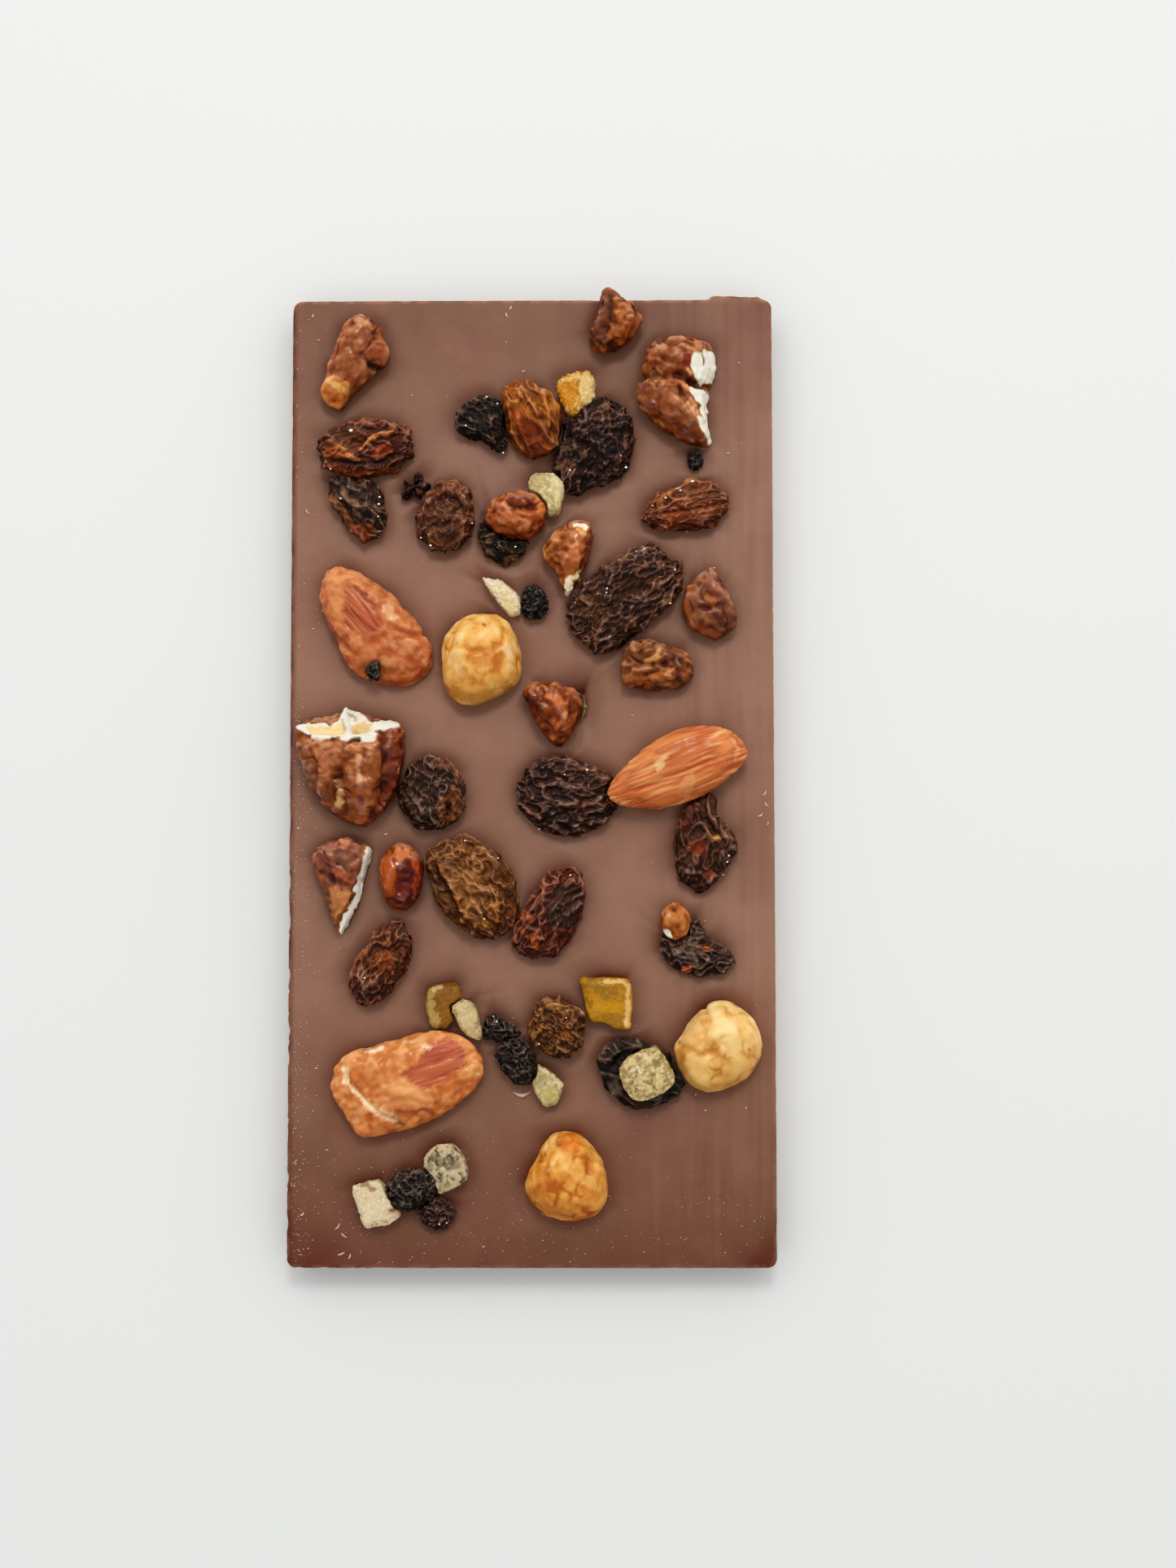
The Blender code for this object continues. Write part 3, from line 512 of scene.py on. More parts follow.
# Raisins and sultanas. Grapes dried whole, each with a skin that has shrunk into a net or a run of ridges
# over a sticky body. They are pressed into the soft chocolate, some of them leaning on each other. A fold is
# a height, a width and a line, and an area of colour is as tints() says, both as seen in the photo.
TOP_FINENESS = 0.4
TOP_DEPTH = 0.8
RAISIN_CELL, RAISIN_RAYS = 0.22, (26, 52)
RAISINS = {
    "raisin_01": dict(valley=(38, 16, 7), skin=(92, 50, 26), ridge=(170, 116, 70), run=1.3, size=1.5,
        net=0.26, folds=[(0.5, 0.5, [(-35.4, 55.6), (-33.2, 56.2), (-31, 54.6), (-29.5, 53)]),
          (0.5, 0.5, [(-28.4, 54.8), (-27, 56.4), (-25, 57.6), (-23.3, 57.6)]),
          (0.4, 0.5, [(-29, 58.9), (-25.5, 59.3), (-22, 58.6)]),
          (-0.6, 0.5, [(-34, 53), (-31, 52.4), (-28, 52.2), (-25, 52.6), (-22.6, 53.8)]),
          (-0.8, 1.6, [(-30.6, 56.6), (-29.4, 56)]), (-0.6, 0.5, [(-23, 57), (-22.4, 54.6)])],
        areas=[((104, 74, 62), 0.75, 0.3, 0, [(-33.5, 56.8), (-32, 58), (-30, 58.7), (-28, 58.9),
            (-27.4, 57.6), (-28.2, 56), (-29.2, 54.2), (-30.5, 54.2), (-32, 55.4)]),
          ((186, 110, 42), 0.65, 0.3, 0, [(-34, 52.4), (-29, 51.4), (-26, 51.2), (-23.6, 52.4), (-24, 50.9),
            (-28.5, 49.6), (-33, 50.5)]),
          ((168, 84, 44), 0.6, 0.3, 0, [(-27, 53.4), (-24.8, 56), (-23.4, 56), (-22.8, 53.8), (-24.5, 53)]),
          ((190, 124, 66), 0.6, 0.3, 0, [(-35.5, 54), (-34.6, 55.8), (-33, 55.8), (-30.6, 53.8),
            (-33, 53.2)]),
          # Pale lines on the two raised folds, partly painted highlights; the dark line under them is painted
          # shade in the groove.
          ((214, 160, 108), 0.75, 0.15, 0.3, [(-33.4, 56), (-31, 54.5), (-29.6, 53.1), (-28.8, 53)]),
          ((214, 160, 112), 0.75, 0.15, 0.28, [(-28.4, 54.8), (-27, 56.4), (-25, 57.5), (-23.3, 57.6)]),
          ((52, 20, 8), 0.85, 0.2, 0.35, [(-34, 53), (-31, 52.4), (-28, 52.2), (-25, 52.6), (-22.6, 53.8)]),
          ((84, 58, 48), 0.7, 0.3, 0, [(-22.6, 56.4), (-20.4, 55.6), (-19.6, 53.8), (-21.8, 52),
            (-22.6, 53.6)])]),
    "raisin_02": dict(valley=(14, 9, 5), skin=(58, 42, 30), ridge=(140, 112, 78), run=1.5, size=1.4, net=0.24,
        folds=[(0.4, 0.4, [(-32, 48), (-30, 45), (-28, 42.5)]),
          (0.3, 0.4, [(-28.5, 49.5), (-26, 46.5), (-24.8, 43.5)])],
        areas=[((48, 40, 34), 0.75, 0.3, 0, [(-33, 49.8), (-28, 49.6), (-26, 47), (-26.5, 44), (-29, 46.6),
            (-31.5, 48)]), ((172, 122, 72), 0.5, 0.3, 0.7, [(-33.2, 47), (-31.8, 44.5), (-30, 42)]),
          ((138, 72, 28), 0.7, 0.3, 0, [(-30.5, 42), (-27.5, 42.6), (-25.6, 41.6), (-25.8, 40.4), (-28, 39.2),
            (-30, 40.6)])]),
    "raisin_03": dict(valley=(8, 5, 4), skin=(36, 27, 22), ridge=(96, 82, 70), run=1.6, size=1.1, net=0.26,
        folds=[(0.3, 0.4, [(-12, 60.8), (-10, 62.6), (-7, 63.6)])]),
    "raisin_04": dict(valley=(116, 66, 10), skin=(152, 106, 34), ridge=(206, 160, 92), run=1.8, size=2,
        net=0.12, folds=[(0.35, 0.4, [(-1.8, 65.6), (-0.8, 63.5), (0.2, 61.8), (1, 60.5)]),
          (0.35, 0.4, [(1.6, 64.2), (2.8, 61.5), (3, 58.5)]),
          (0.3, 0.35, [(-4, 62), (-3.6, 58), (-2.6, 55.6), (-0.8, 53.4)]),
          (-0.3, 0.4, [(-2.8, 65), (-1.6, 62), (-0.6, 60.4), (1.6, 59.6)])],
        areas=[((150, 72, 8), 0.6, 0.4, 0, [(-4, 61), (-2, 61.5), (0.5, 59.5), (3, 58), (3.5, 55.5),
            (1.5, 53.5), (-1, 55), (-2.8, 57.5)]),
          # Pale lines on the raised folds, partly painted highlights, and a dark line beside the groove,
          # painted shade.
          ((222, 166, 98), 0.65, 0.12, 0.22, [(-1.8, 65.6), (-0.8, 63.5), (0.2, 61.8), (1, 60.5)]),
          ((222, 166, 98), 0.65, 0.12, 0.24, [(1.6, 64.2), (2.8, 61.5), (3, 58.5)]),
          ((216, 160, 94), 0.6, 0.12, 0.22, [(-4.2, 63.5), (-3.6, 58), (-2.6, 55.6), (-0.8, 53.4)]),
          ((232, 190, 140), 0.6, 0.3, 0.35, [(-2.3, 65), (-1.7, 63.6)]),
          ((84, 34, 6), 0.7, 0.15, 0.22, [(-0.5, 62.4), (0.8, 60.6), (2, 60.2)]),
          ((120, 44, 8), 0.6, 0.3, 0.6, [(-1, 54.8), (1.2, 54.4)])]),
    "raisin_05": dict(valley=(12, 6, 5), skin=(50, 29, 22), ridge=(112, 80, 66), run=1.2, size=1.25, net=0.3,
        folds=[(0.4, 0.6, [(9, 61), (12.5, 62), (15, 60)]), (-0.5, 0.6, [(6, 57), (9, 55)]),
          (-0.4, 0.5, [(8, 52), (12, 50.6), (14, 52.6)])],
        areas=[((112, 78, 60), 0.5, 0.5, 1.2, [(5.4, 52)]), ((104, 78, 68), 0.5, 0.5, 1.4, [(11.6, 60.6)])]),
    "raisin_06": dict(valley=(44, 20, 8), skin=(98, 62, 40), ridge=(166, 126, 92), run=0, size=1.2, net=0.18,
        folds=[(0.4, 0.4, [(-19, 43.5), (-17.6, 46), (-14.8, 47.8), (-12, 47.4), (-10.4, 45.2),
            (-9.9, 42.5)]), (0.35, 0.35, [(-15.5, 49), (-12.8, 49.2), (-10.8, 47.6)]),
          (-0.35, 0.4, [(-18.4, 43), (-17, 45.2), (-14.8, 46.8), (-12.4, 46.4), (-10.9, 44.4)]),
          (-0.35, 0.35, [(-17.2, 42.6), (-15.4, 41.6), (-13.6, 42.4), (-12.6, 44.6)])],
        areas=[((118, 70, 36), 0.55, 0.3, 0.8, [(-18.8, 44), (-17, 46.6), (-14.5, 48.3), (-11.6, 47.6),
            (-10.1, 44.8), (-9.9, 41.5)]),
          ((120, 92, 76), 0.6, 0.5, 0, [(-18, 41.5), (-17, 44.2), (-14.5, 45.8), (-12, 45), (-10.8, 42.5),
            (-11.2, 39.8), (-13.8, 38.2), (-17, 39)]),
          # Dark lines along the two grooves: painted shade.
          ((50, 22, 10), 0.8, 0.2, 0.25, [(-17.2, 42.6), (-15.4, 41.6), (-13.6, 42.4), (-12.6, 44.6)]),
          ((58, 26, 12), 0.6, 0.2, 0.22, [(-18.4, 43.2), (-17, 45.3), (-14.8, 46.8), (-12.4, 46.4)]),
          ((60, 30, 14), 0.6, 0.4, 0.7, [(-14.8, 39.8), (-13.2, 40.4)])]),
    "raisin_07": dict(valley=(10, 8, 5), skin=(44, 38, 26), ridge=(110, 98, 70), run=1.4, size=1.2, net=0.28,
        areas=[((128, 118, 88), 0.6, 0.3, 0.45, [(-7.3, 39.4)]),
          ((128, 118, 88), 0.6, 0.3, 0.4, [(-6.6, 36.9)]),
          ((150, 118, 62), 0.6, 0.3, 0.7, [(-4, 35.8), (-3, 36)])]),
    "raisin_08": dict(valley=(72, 34, 8), skin=(122, 74, 30), ridge=(186, 138, 86), run=1.7, size=1.3,
        net=0.18, folds=[(0.4, 0.6, [(19.6, 45.4), (22, 46.6), (24.6, 48.4), (27.6, 49.4)]),
          (-0.4, 0.4, [(20, 43.6), (24, 44), (28, 44.6), (31.6, 45.6)])],
        areas=[((120, 92, 74), 0.5, 0.4, 0, [(24, 47.6), (27.4, 49.5), (30.4, 48), (32.4, 45.6), (29.6, 46.8),
            (26, 46.6)]),
          ((150, 84, 16), 0.5, 0.4, 0, [(20, 43.8), (27, 44.8), (31.8, 45.2), (29.6, 42.4), (22, 42.6)]),
          ((112, 84, 68), 0.5, 0.4, 0, [(18.6, 42.8), (20.2, 45.2), (22, 44.6), (20.6, 42.6)])]),
    "raisin_09": dict(valley=(24, 13, 9), skin=(78, 54, 42), ridge=(140, 112, 92), run=1.6, size=1.2, net=0.3,
        folds=[(0.5, 0.5, [(12, 34.6), (15.6, 36.4), (19, 38.6), (22, 37)]),
          (-0.5, 0.6, [(13, 28), (15.6, 31), (19, 31.6)]), (-0.5, 0.5, [(9, 31), (11, 28.6), (10.6, 25)]),
          (0.4, 0.5, [(16, 24.6), (20, 27.4), (23.6, 30.4)])],
        areas=[((96, 76, 50), 0.5, 0.5, 0, [(6.6, 30), (11, 31), (13, 28), (11, 25), (7.5, 26)]),
          ((100, 76, 44), 0.4, 0.4, 0.8, [(13.6, 26), (17, 25.4)]),
          ((44, 26, 20), 0.6, 0.4, 0.4, [(12.4, 27), (14.6, 30.4), (18.6, 31.6)])]),
    "raisin_10": dict(valley=(18, 11, 9), skin=(64, 44, 36), ridge=(126, 98, 84), run=1.3, size=1.2, net=0.28,
        folds=[(0.35, 0.35, [(-20.4, -2.6), (-18.6, -4.4), (-17.6, -6.6)]),
          (0.3, 0.35, [(-19.4, -1.4), (-17.4, -3.4), (-16.4, -6)]),
          (-0.6, 0.5, [(-13.9, -4.2), (-13.4, -6)])],
        areas=[((58, 48, 44), 0.6, 0.4, 0, [(-21.6, -2.6), (-19.6, 1), (-17.4, 1.4), (-15.6, -1), (-16, -6.6),
            (-19, -7.4)]),
          ((156, 112, 86), 0.6, 0.4, 0, [(-15.4, -3.4), (-12.6, -1), (-10.9, -3), (-12, -6.6), (-14.6, -7.8),
            (-15.6, -5)]), ((132, 92, 76), 0.5, 0.4, 0.7, [(-15.4, 2.6), (-13, 2), (-11.8, 0.4)]),
          # The dark hole in the groove is painted shade.
          ((36, 10, 6), 0.9, 0.15, 0, [(-14.2, -4), (-12.9, -3.9), (-13, -5.3), (-14.1, -6.6)])]),
    "raisin_11": dict(valley=(17, 9, 6), skin=(62, 38, 28), ridge=(122, 90, 72), run=1.7, size=1.15, net=0.3,
        folds=[(-0.4, 0.5, [(4, -6.4), (8, -4.6), (11.6, -2.4)]), (0.4, 0.5, [(3, 3), (8, 2), (12, 0)])],
        areas=[((44, 22, 22), 0.5, 0.4, 0.8, [(4, -1.6), (8, -1)]),
          ((128, 82, 58), 0.4, 0.4, 0.5, [(9, -4.6), (10.6, -4.4)])]),
    "raisin_12": dict(valley=(20, 11, 8), skin=(80, 50, 40), ridge=(136, 106, 90), run=1.5, size=1.7, net=0.2,
        folds=[(0.45, 0.4, [(28.8, -4.4), (29.4, -6.6), (31.2, -8.6), (33.2, -10.4)]),
          (0.35, 0.3, [(27.2, -5), (27.6, -7.4), (29.4, -9.6)]),
          (-0.5, 0.5, [(28, -4.6), (28.8, -7.6), (31, -9.8)]), (0.4, 0.5, [(25, -10), (24, -13.6)]),
          (0.35, 0.4, [(31.6, -12.4), (30.6, -16), (28.4, -18)])],
        areas=[((124, 52, 20), 0.65, 0.3, 0, [(26, -10.3), (28.4, -10.4), (29.2, -12), (26.8, -13.2),
            (25.6, -11.8)]), ((88, 32, 16), 0.55, 0.3, 0.6, [(26.6, -4.2), (25.6, -7), (25, -8.4)]),
          ((200, 166, 112), 0.85, 0.12, 0, [(29.4, -9.9), (30.8, -9.4), (31.2, -10.1), (29.6, -10.5)]),
          ((140, 62, 30), 0.55, 0.3, 0.5, [(28.6, -16.6), (29.6, -16)])]),
    "raisin_13": dict(valley=(70, 42, 10), skin=(118, 82, 26), ridge=(174, 140, 78), run=1.4, size=1.4,
        net=0.2, folds=[(0.5, 0.45, [(-15.2, -14.4), (-13.4, -17.6), (-11.4, -22), (-9.6, -24.6)]),
          (-0.6, 0.5, [(-16, -15), (-14.2, -18.4), (-12.2, -22.8)]),
          (0.35, 0.4, [(-11, -9.8), (-7.6, -12), (-4.4, -15.6)])],
        # The dark line along the groove is painted shade.
        areas=[((92, 68, 40), 0.6, 0.4, 0, [(-17.4, -14.4), (-15.4, -16.8), (-13.2, -21.6), (-12.4, -24),
            (-15.6, -20.6)]), ((58, 28, 10), 0.75, 0.25, 0.4, [(-16, -15), (-14.2, -18.4), (-12.2, -22.8)]),
          ((158, 132, 92), 0.45, 0.5, 0, [(-14, -14.6), (-9, -15), (-7, -19), (-9.6, -22.6), (-12, -19.4)]),
          ((78, 32, 12), 0.6, 0.4, 0.7, [(-12, -24.8), (-7, -26.2), (-4.6, -25)]),
          ((176, 140, 60), 0.5, 0.3, 0.6, [(-9, -24), (-7, -24.4)])]),
    "raisin_14": dict(valley=(36, 12, 7), skin=(96, 48, 32), ridge=(164, 114, 90), run=1.6, size=1.3,
        net=0.26, folds=[(0.3, 0.25, [(2.6, -21.4), (5, -19.4), (8, -18)]),
          (0.3, 0.25, [(2.6, -22.6), (5.4, -20.8), (8.2, -19.4)]),
          (0.3, 0.25, [(3, -23.8), (5.8, -22.2), (8, -21)]), (0.3, 0.5, [(-2, -25), (0.6, -27.6)])],
        areas=[((50, 38, 34), 0.85, 0.3, 0, [(2, -21), (4, -17.6), (8, -17), (8.4, -21), (7, -24.8),
            (2.8, -24.5)]), ((74, 12, 10), 0.6, 0.3, 0.6, [(1.4, -21), (4, -20)]),
          ((180, 104, 56), 0.6, 0.3, 0.6, [(-1.6, -22.4), (0, -23.4)]),
          ((190, 116, 52), 0.6, 0.3, 0.6, [(0.3, -26), (0.7, -28)])]),
    "raisin_15": dict(valley=(48, 21, 8), skin=(104, 60, 30), ridge=(168, 118, 76), run=1.5, size=1.2,
        net=0.28, folds=[(0.3, 0.4, [(-28.6, -30), (-25.6, -25.6)]),
          (-0.4, 0.5, [(-25.4, -28), (-21.6, -28.4)])],
        areas=[((156, 92, 28), 0.5, 0.4, 0, [(-26, -28.6), (-23, -28.6), (-22.4, -31), (-25, -32)]),
          ((52, 24, 12), 0.6, 0.4, 0, [(-29.6, -34), (-24, -33.8), (-23.4, -35.6), (-27.6, -37)]),
          ((84, 68, 62), 0.6, 0.4, 0, [(-22.6, -24), (-20.2, -24.6), (-20, -27.4), (-21.6, -27.6)])]),
    "raisin_16": dict(valley=(46, 27, 4), skin=(108, 76, 20), ridge=(164, 134, 66), run=0, size=1.15,
        net=0.24, folds=[(0.3, 0.35, [(1.4, -38.2), (4, -37.2), (6.6, -38.6), (7.6, -41)])],
        areas=[((74, 36, 10), 0.6, 0.3, 0.5, [(1.6, -38.6), (3, -39.4)]),
          ((168, 126, 60), 0.4, 0.4, 0.6, [(5.4, -41.4), (6.4, -42.6)])]),
    "raisin_17": dict(valley=(7, 5, 4), skin=(31, 26, 22), ridge=(84, 76, 66), run=2, size=2, net=0.18,
        folds=[(0.4, 0.4, [(12.4, -46.4), (15, -44.4), (18, -44.2)]),
          (-0.5, 0.5, [(13.6, -47), (14.8, -45.4)])],
        areas=[((74, 44, 16), 0.6, 0.3, 0.5, [(15.4, -52.6), (18.6, -53.6)])]),
}


def measured(places, height):
    """Places read off the photo at the height of the face, moved to where they lie on something that high:
    towards the spot under the camera, by the share of the way up to the camera."""
    places = np.array(places, float)
    return places + (np.array(CAMERA_PLACE[:2]) - places) * (height - FACE) / (CAMERA_PLACE[2] - FACE)


def line_gap(x, y, line):
    """How far each place is from a line of straight stretches, seen from above."""
    gap = np.full(x.shape, 99.0)
    for (x0, y0), (x1, y1) in zip(line, line[1:] if len(line) > 1 else line):
        run = (x1 - x0) ** 2 + (y1 - y0) ** 2
        share = np.clip(((x - x0) * (x1 - x0) + (y - y0) * (y1 - y0)) / max(run, 1e-9), 0, 1)
        gap = np.minimum(gap, np.hypot(x - x0 - share * (x1 - x0), y - y0 - share * (y1 - y0)))
    return gap


def depth_inside(x, y, corners):
    """How far each place is inside an outline, less than 0 outside it. A place is inside when a level ray
    from it crosses an odd number of sides."""
    closed = [*corners, corners[0]]
    inside = np.zeros(x.shape, bool)
    for (x0, y0), (x1, y1) in zip(closed, closed[1:]):
        if y0 != y1:
            inside ^= ((y0 > y) != (y1 > y)) & (x < (x1 - x0) * (y - y0) / (y1 - y0) + x0)
    return np.where(inside, 1, -1) * line_gap(x, y, closed)


def tints(points, look, seed):
    """The look's areas of colour laid on a piece one over another. An area is a colour, its strength, how
    ragged its edge is, and a line with a half width, or an outline for a half width of 0. Returns the mark
    of the colours, already multiplied by their strength, and the mark of the strength."""
    top = points[..., 2].max() - TOP_DEPTH
    x, y = points[..., 0], points[..., 1]
    rough = grain(points / 1.2, seed) + 0.7 * grain(points / 0.55, seed + 1)
    above = smooth(points[..., 2], FACE, FACE + 1.0)
    colours, strength = np.zeros((*x.shape, 4)), np.zeros(x.shape)
    for colour, full, ragged, half_width, places in look.get("areas", []):
        places = measured(places, top)
        depth = half_width - line_gap(x, y, places) if half_width else depth_inside(x, y, places)
        share = full * smooth(depth + ragged * rough, -0.14, 0.14) * above
        colours = colours * (1 - share)[..., None] + np.array(srgb(*colour)) * share[..., None]
        strength = strength * (1 - share) + share
    return {"tint": colours, "tinted": strength}


def folded(points, look):
    """The look's ridges and grooves along lines: each adds its height times exp(-(distance from the line /
    width)^2)."""
    top = points[..., 2].max() - TOP_DEPTH
    raised = np.zeros(points.shape[:-1])
    for height, width, line in look.get("folds", []):
        gap = line_gap(points[..., 0], points[..., 1], measured(line, top))
        raised = raised + height * np.exp(-(gap / width) ** 2)
    return raised


def crossing(points):
    """The outward direction at each point of a closed grid, of any length: the cross product of the steps
    from row to row and round the row."""
    round_it = np.roll(points, -1, axis=1) - np.roll(points, 1, axis=1)
    return np.cross(np.gradient(points, axis=0), round_it)


def leaning(points):
    """Two marks from the outward direction of a closed grid. The lean is 0.5 where the surface is level,
    near 1 where it leans 25 degrees towards the window and near 0 where it leans as far the other way. The
    steepness is 0 on top and near 1 where the surface stands upright."""
    outward = crossing(points)
    outward /= np.maximum(np.linalg.norm(outward, axis=-1, keepdims=True), 1e-9)
    outward[0], outward[-1] = outward[1].mean(0), outward[-2].mean(0)
    return {"lean": np.clip(0.5 + 1.2 * outward[..., 1], 0, 1),
            "steep": smooth(-outward[..., 2], -0.7, -0.1)}


def blend_weights(places, count):
    """Weights that read a row of evenly spaced values at any place between them: the smooth bell of four
    values, (1 - t)^3, 3t^3 - 6t^2 + 4 and their mirror images, over six. The row is taken as a ring."""
    first = np.floor(places).astype(int)
    t = places - first
    bell = np.stack([(1 - t) ** 3, 3 * t ** 3 - 6 * t ** 2 + 4, -3 * t ** 3 + 3 * t ** 2 + 3 * t + 1,
                     t ** 3], 1)
    weights = np.zeros((len(places), count))
    for step in range(4):
        weights[np.arange(len(places)), (first + step - 1) % count] += bell[:, step] / 6
    return weights


def whole_form(node, cell, coarse):
    """A CAD solid as a smooth closed grid: rows run from one end of its long axis to the other and columns
    round it, closer on the top than underneath, at u + 0.4 cos u for even u. Rays leave its middle, spread
    evenly over an ellipsoid of its own size, and where they leave the solid is blended from a coarse grid of
    them to the fine one. Returns the points, the outward directions and the points in its own axes."""
    triangles = triangles_of(node)
    centre, axes, half = own_axes(triangles)
    rows = int(2.6 * half[0] / cell)
    columns = int(math.pi * (half[1] + half[2]) / cell)

    def rays(lean, turn):
        lean, turn = np.meshgrid(lean, turn, indexing="ij")
        spread = np.stack([np.cos(lean), np.sin(lean) * np.cos(turn), np.sin(lean) * np.sin(turn)], -1) * half
        return (spread / np.linalg.norm(spread, axis=-1, keepdims=True)) @ axes

    coarse_rows, coarse_columns = coarse
    sampled = rays((np.arange(coarse_rows) + 0.5) * math.pi / coarse_rows,
                   np.arange(coarse_columns) * math.tau / coarse_columns)
    reach = way_out(triangles, centre, sampled.reshape(-1, 3)).reshape(coarse)
    reach = np.where(np.isnan(reach), np.nanmedian(reach), reach)
    turned = np.roll(reach, coarse_columns // 2, axis=1)
    beyond_ends = np.concatenate([turned[1::-1], reach, turned[:-3:-1]])
    lean = np.linspace(0, math.pi, rows + 1)
    even = np.arange(columns) * math.tau / columns
    turn = even + TOP_FINENESS * np.cos(even)
    row_weights = blend_weights(lean / math.pi * coarse_rows + 1.5, coarse_rows + 4)
    column_weights = blend_weights(turn / math.tau * coarse_columns, coarse_columns)
    fine = row_weights @ beyond_ends @ column_weights.T
    fine[0], fine[-1] = fine[0].mean(), fine[-1].mean()
    points = centre + rays(lean, turn) * fine[..., None]
    outward = crossing(points)
    outward[0], outward[-1] = axes[0], -axes[0]
    outward /= np.linalg.norm(outward, axis=-1, keepdims=True)
    return points, outward, (points - centre) @ axes.T


SURFACES = {}


def add_closed(name, node, points, marks, finish, slot):
    """A closed piece from a grid whose first and last rows are each a single point. It replaces its node,
    and its points are kept in SURFACES for what lies on it."""
    SURFACES[node] = points.reshape(-1, 3)
    rows, columns = points.shape[0] - 1, points.shape[1]
    ring = 1 + np.arange((rows - 1) * columns).reshape(rows - 1, columns)
    beside = np.roll(ring, -1, axis=1)
    quads = np.stack([ring[:-1], ring[1:], beside[1:], beside[:-1]], -1).reshape(-1, 4)
    start_fan = np.stack([np.zeros(columns, int), ring[0], beside[0]], 1)
    end_fan = np.stack([ring[-1], np.full(columns, ring[-1, -1] + 1), beside[-1]], 1)

    def unrolled(grid):
        return np.concatenate([grid[:1, 0], grid[1:-1].reshape(-1, *grid.shape[2:]), grid[-1:, 0]])

    kept = {mark_name: unrolled(values) for mark_name, values in marks.items()}
    piece = add_mesh(name, unrolled(points), [quads, start_fan, end_fan], kept, finish, slot)
    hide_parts(node)


def drift(places, seed):
    """Three noises as one wandering offset."""
    return np.stack([grain(places, seed + step) for step in range(3)], -1)


def creases(places, width, seed):
    """1 along the lines where noise crosses zero and 0 away from them, as exp(-(noise / width)^2)."""
    return np.exp(-(grain(places, seed) / width) ** 2)


def wrinkles(places, seed):
    """Thin sharp ridges with hollows between them, 0 to 1: max(1 - 2.8|noise|, 0)^1.5 at two sizes, taken at
    places that wander. The finer ridges fade out in patches, which leaves smooth plates there."""
    bent = places + 0.45 * drift(places * 0.7, seed)
    wide = np.clip(1 - 2.8 * np.abs(grain(bent, seed + 5)), 0, 1) ** 1.5
    fine = np.clip(1 - 2.8 * np.abs(grain(bent * 1.9, seed + 6)), 0, 1) ** 1.5
    puckered = smooth(grain(bent * 0.6, seed + 7), -0.25, 0.35)
    return np.maximum(wide, (0.3 + 0.4 * puckered) * fine)


def flowing(own, run, size):
    """Places for a wrinkle pattern, in steps of its size: run times longer along the piece than across it, or
    for a run of 0 in rings round its top, where the turn counts less than the distance from the middle."""
    if run == 0:
        radius = np.hypot(own[..., 0], own[..., 1])
        steady = np.maximum(radius, 1.0)
        return np.stack([radius / size, own[..., 0] / steady * 1.9, own[..., 1] / steady * 1.9], -1)
    return own / size / (run, 1.0, 1.0)


def ramp(factor, stops):
    """Colours that run into each other: each stop is a value of the factor and the colour there."""
    return factor.node("ShaderNodeValToRGB", {"stops": stops}, {"Fac": factor}, "Color")


def mixed(kind, factor, first, second):
    """Two colours combined: added, multiplied and so on."""
    return first.node("ShaderNodeMix", {"data_type": "RGBA", "blend_type": kind},
                      {0: factor, 6: first, 7: second}, 2)


def dyed(factor, base, red, green, blue):
    """A colour multiplied by a dye, in the measure of the factor."""
    return mixed("MULTIPLY", factor, base, (red, green, blue, 1.0))


def tinted(paint, base):
    """The colours kept in the mesh laid over a base colour."""
    laid = paint.node("ShaderNodeAttribute", {"attribute_name": "tint"}, {}, "Color")
    bare = mixed("MIX", mark(paint, "tinted"), base, (0.0, 0.0, 0.0, 1.0))
    return mixed("ADD", 1.0, bare, laid)


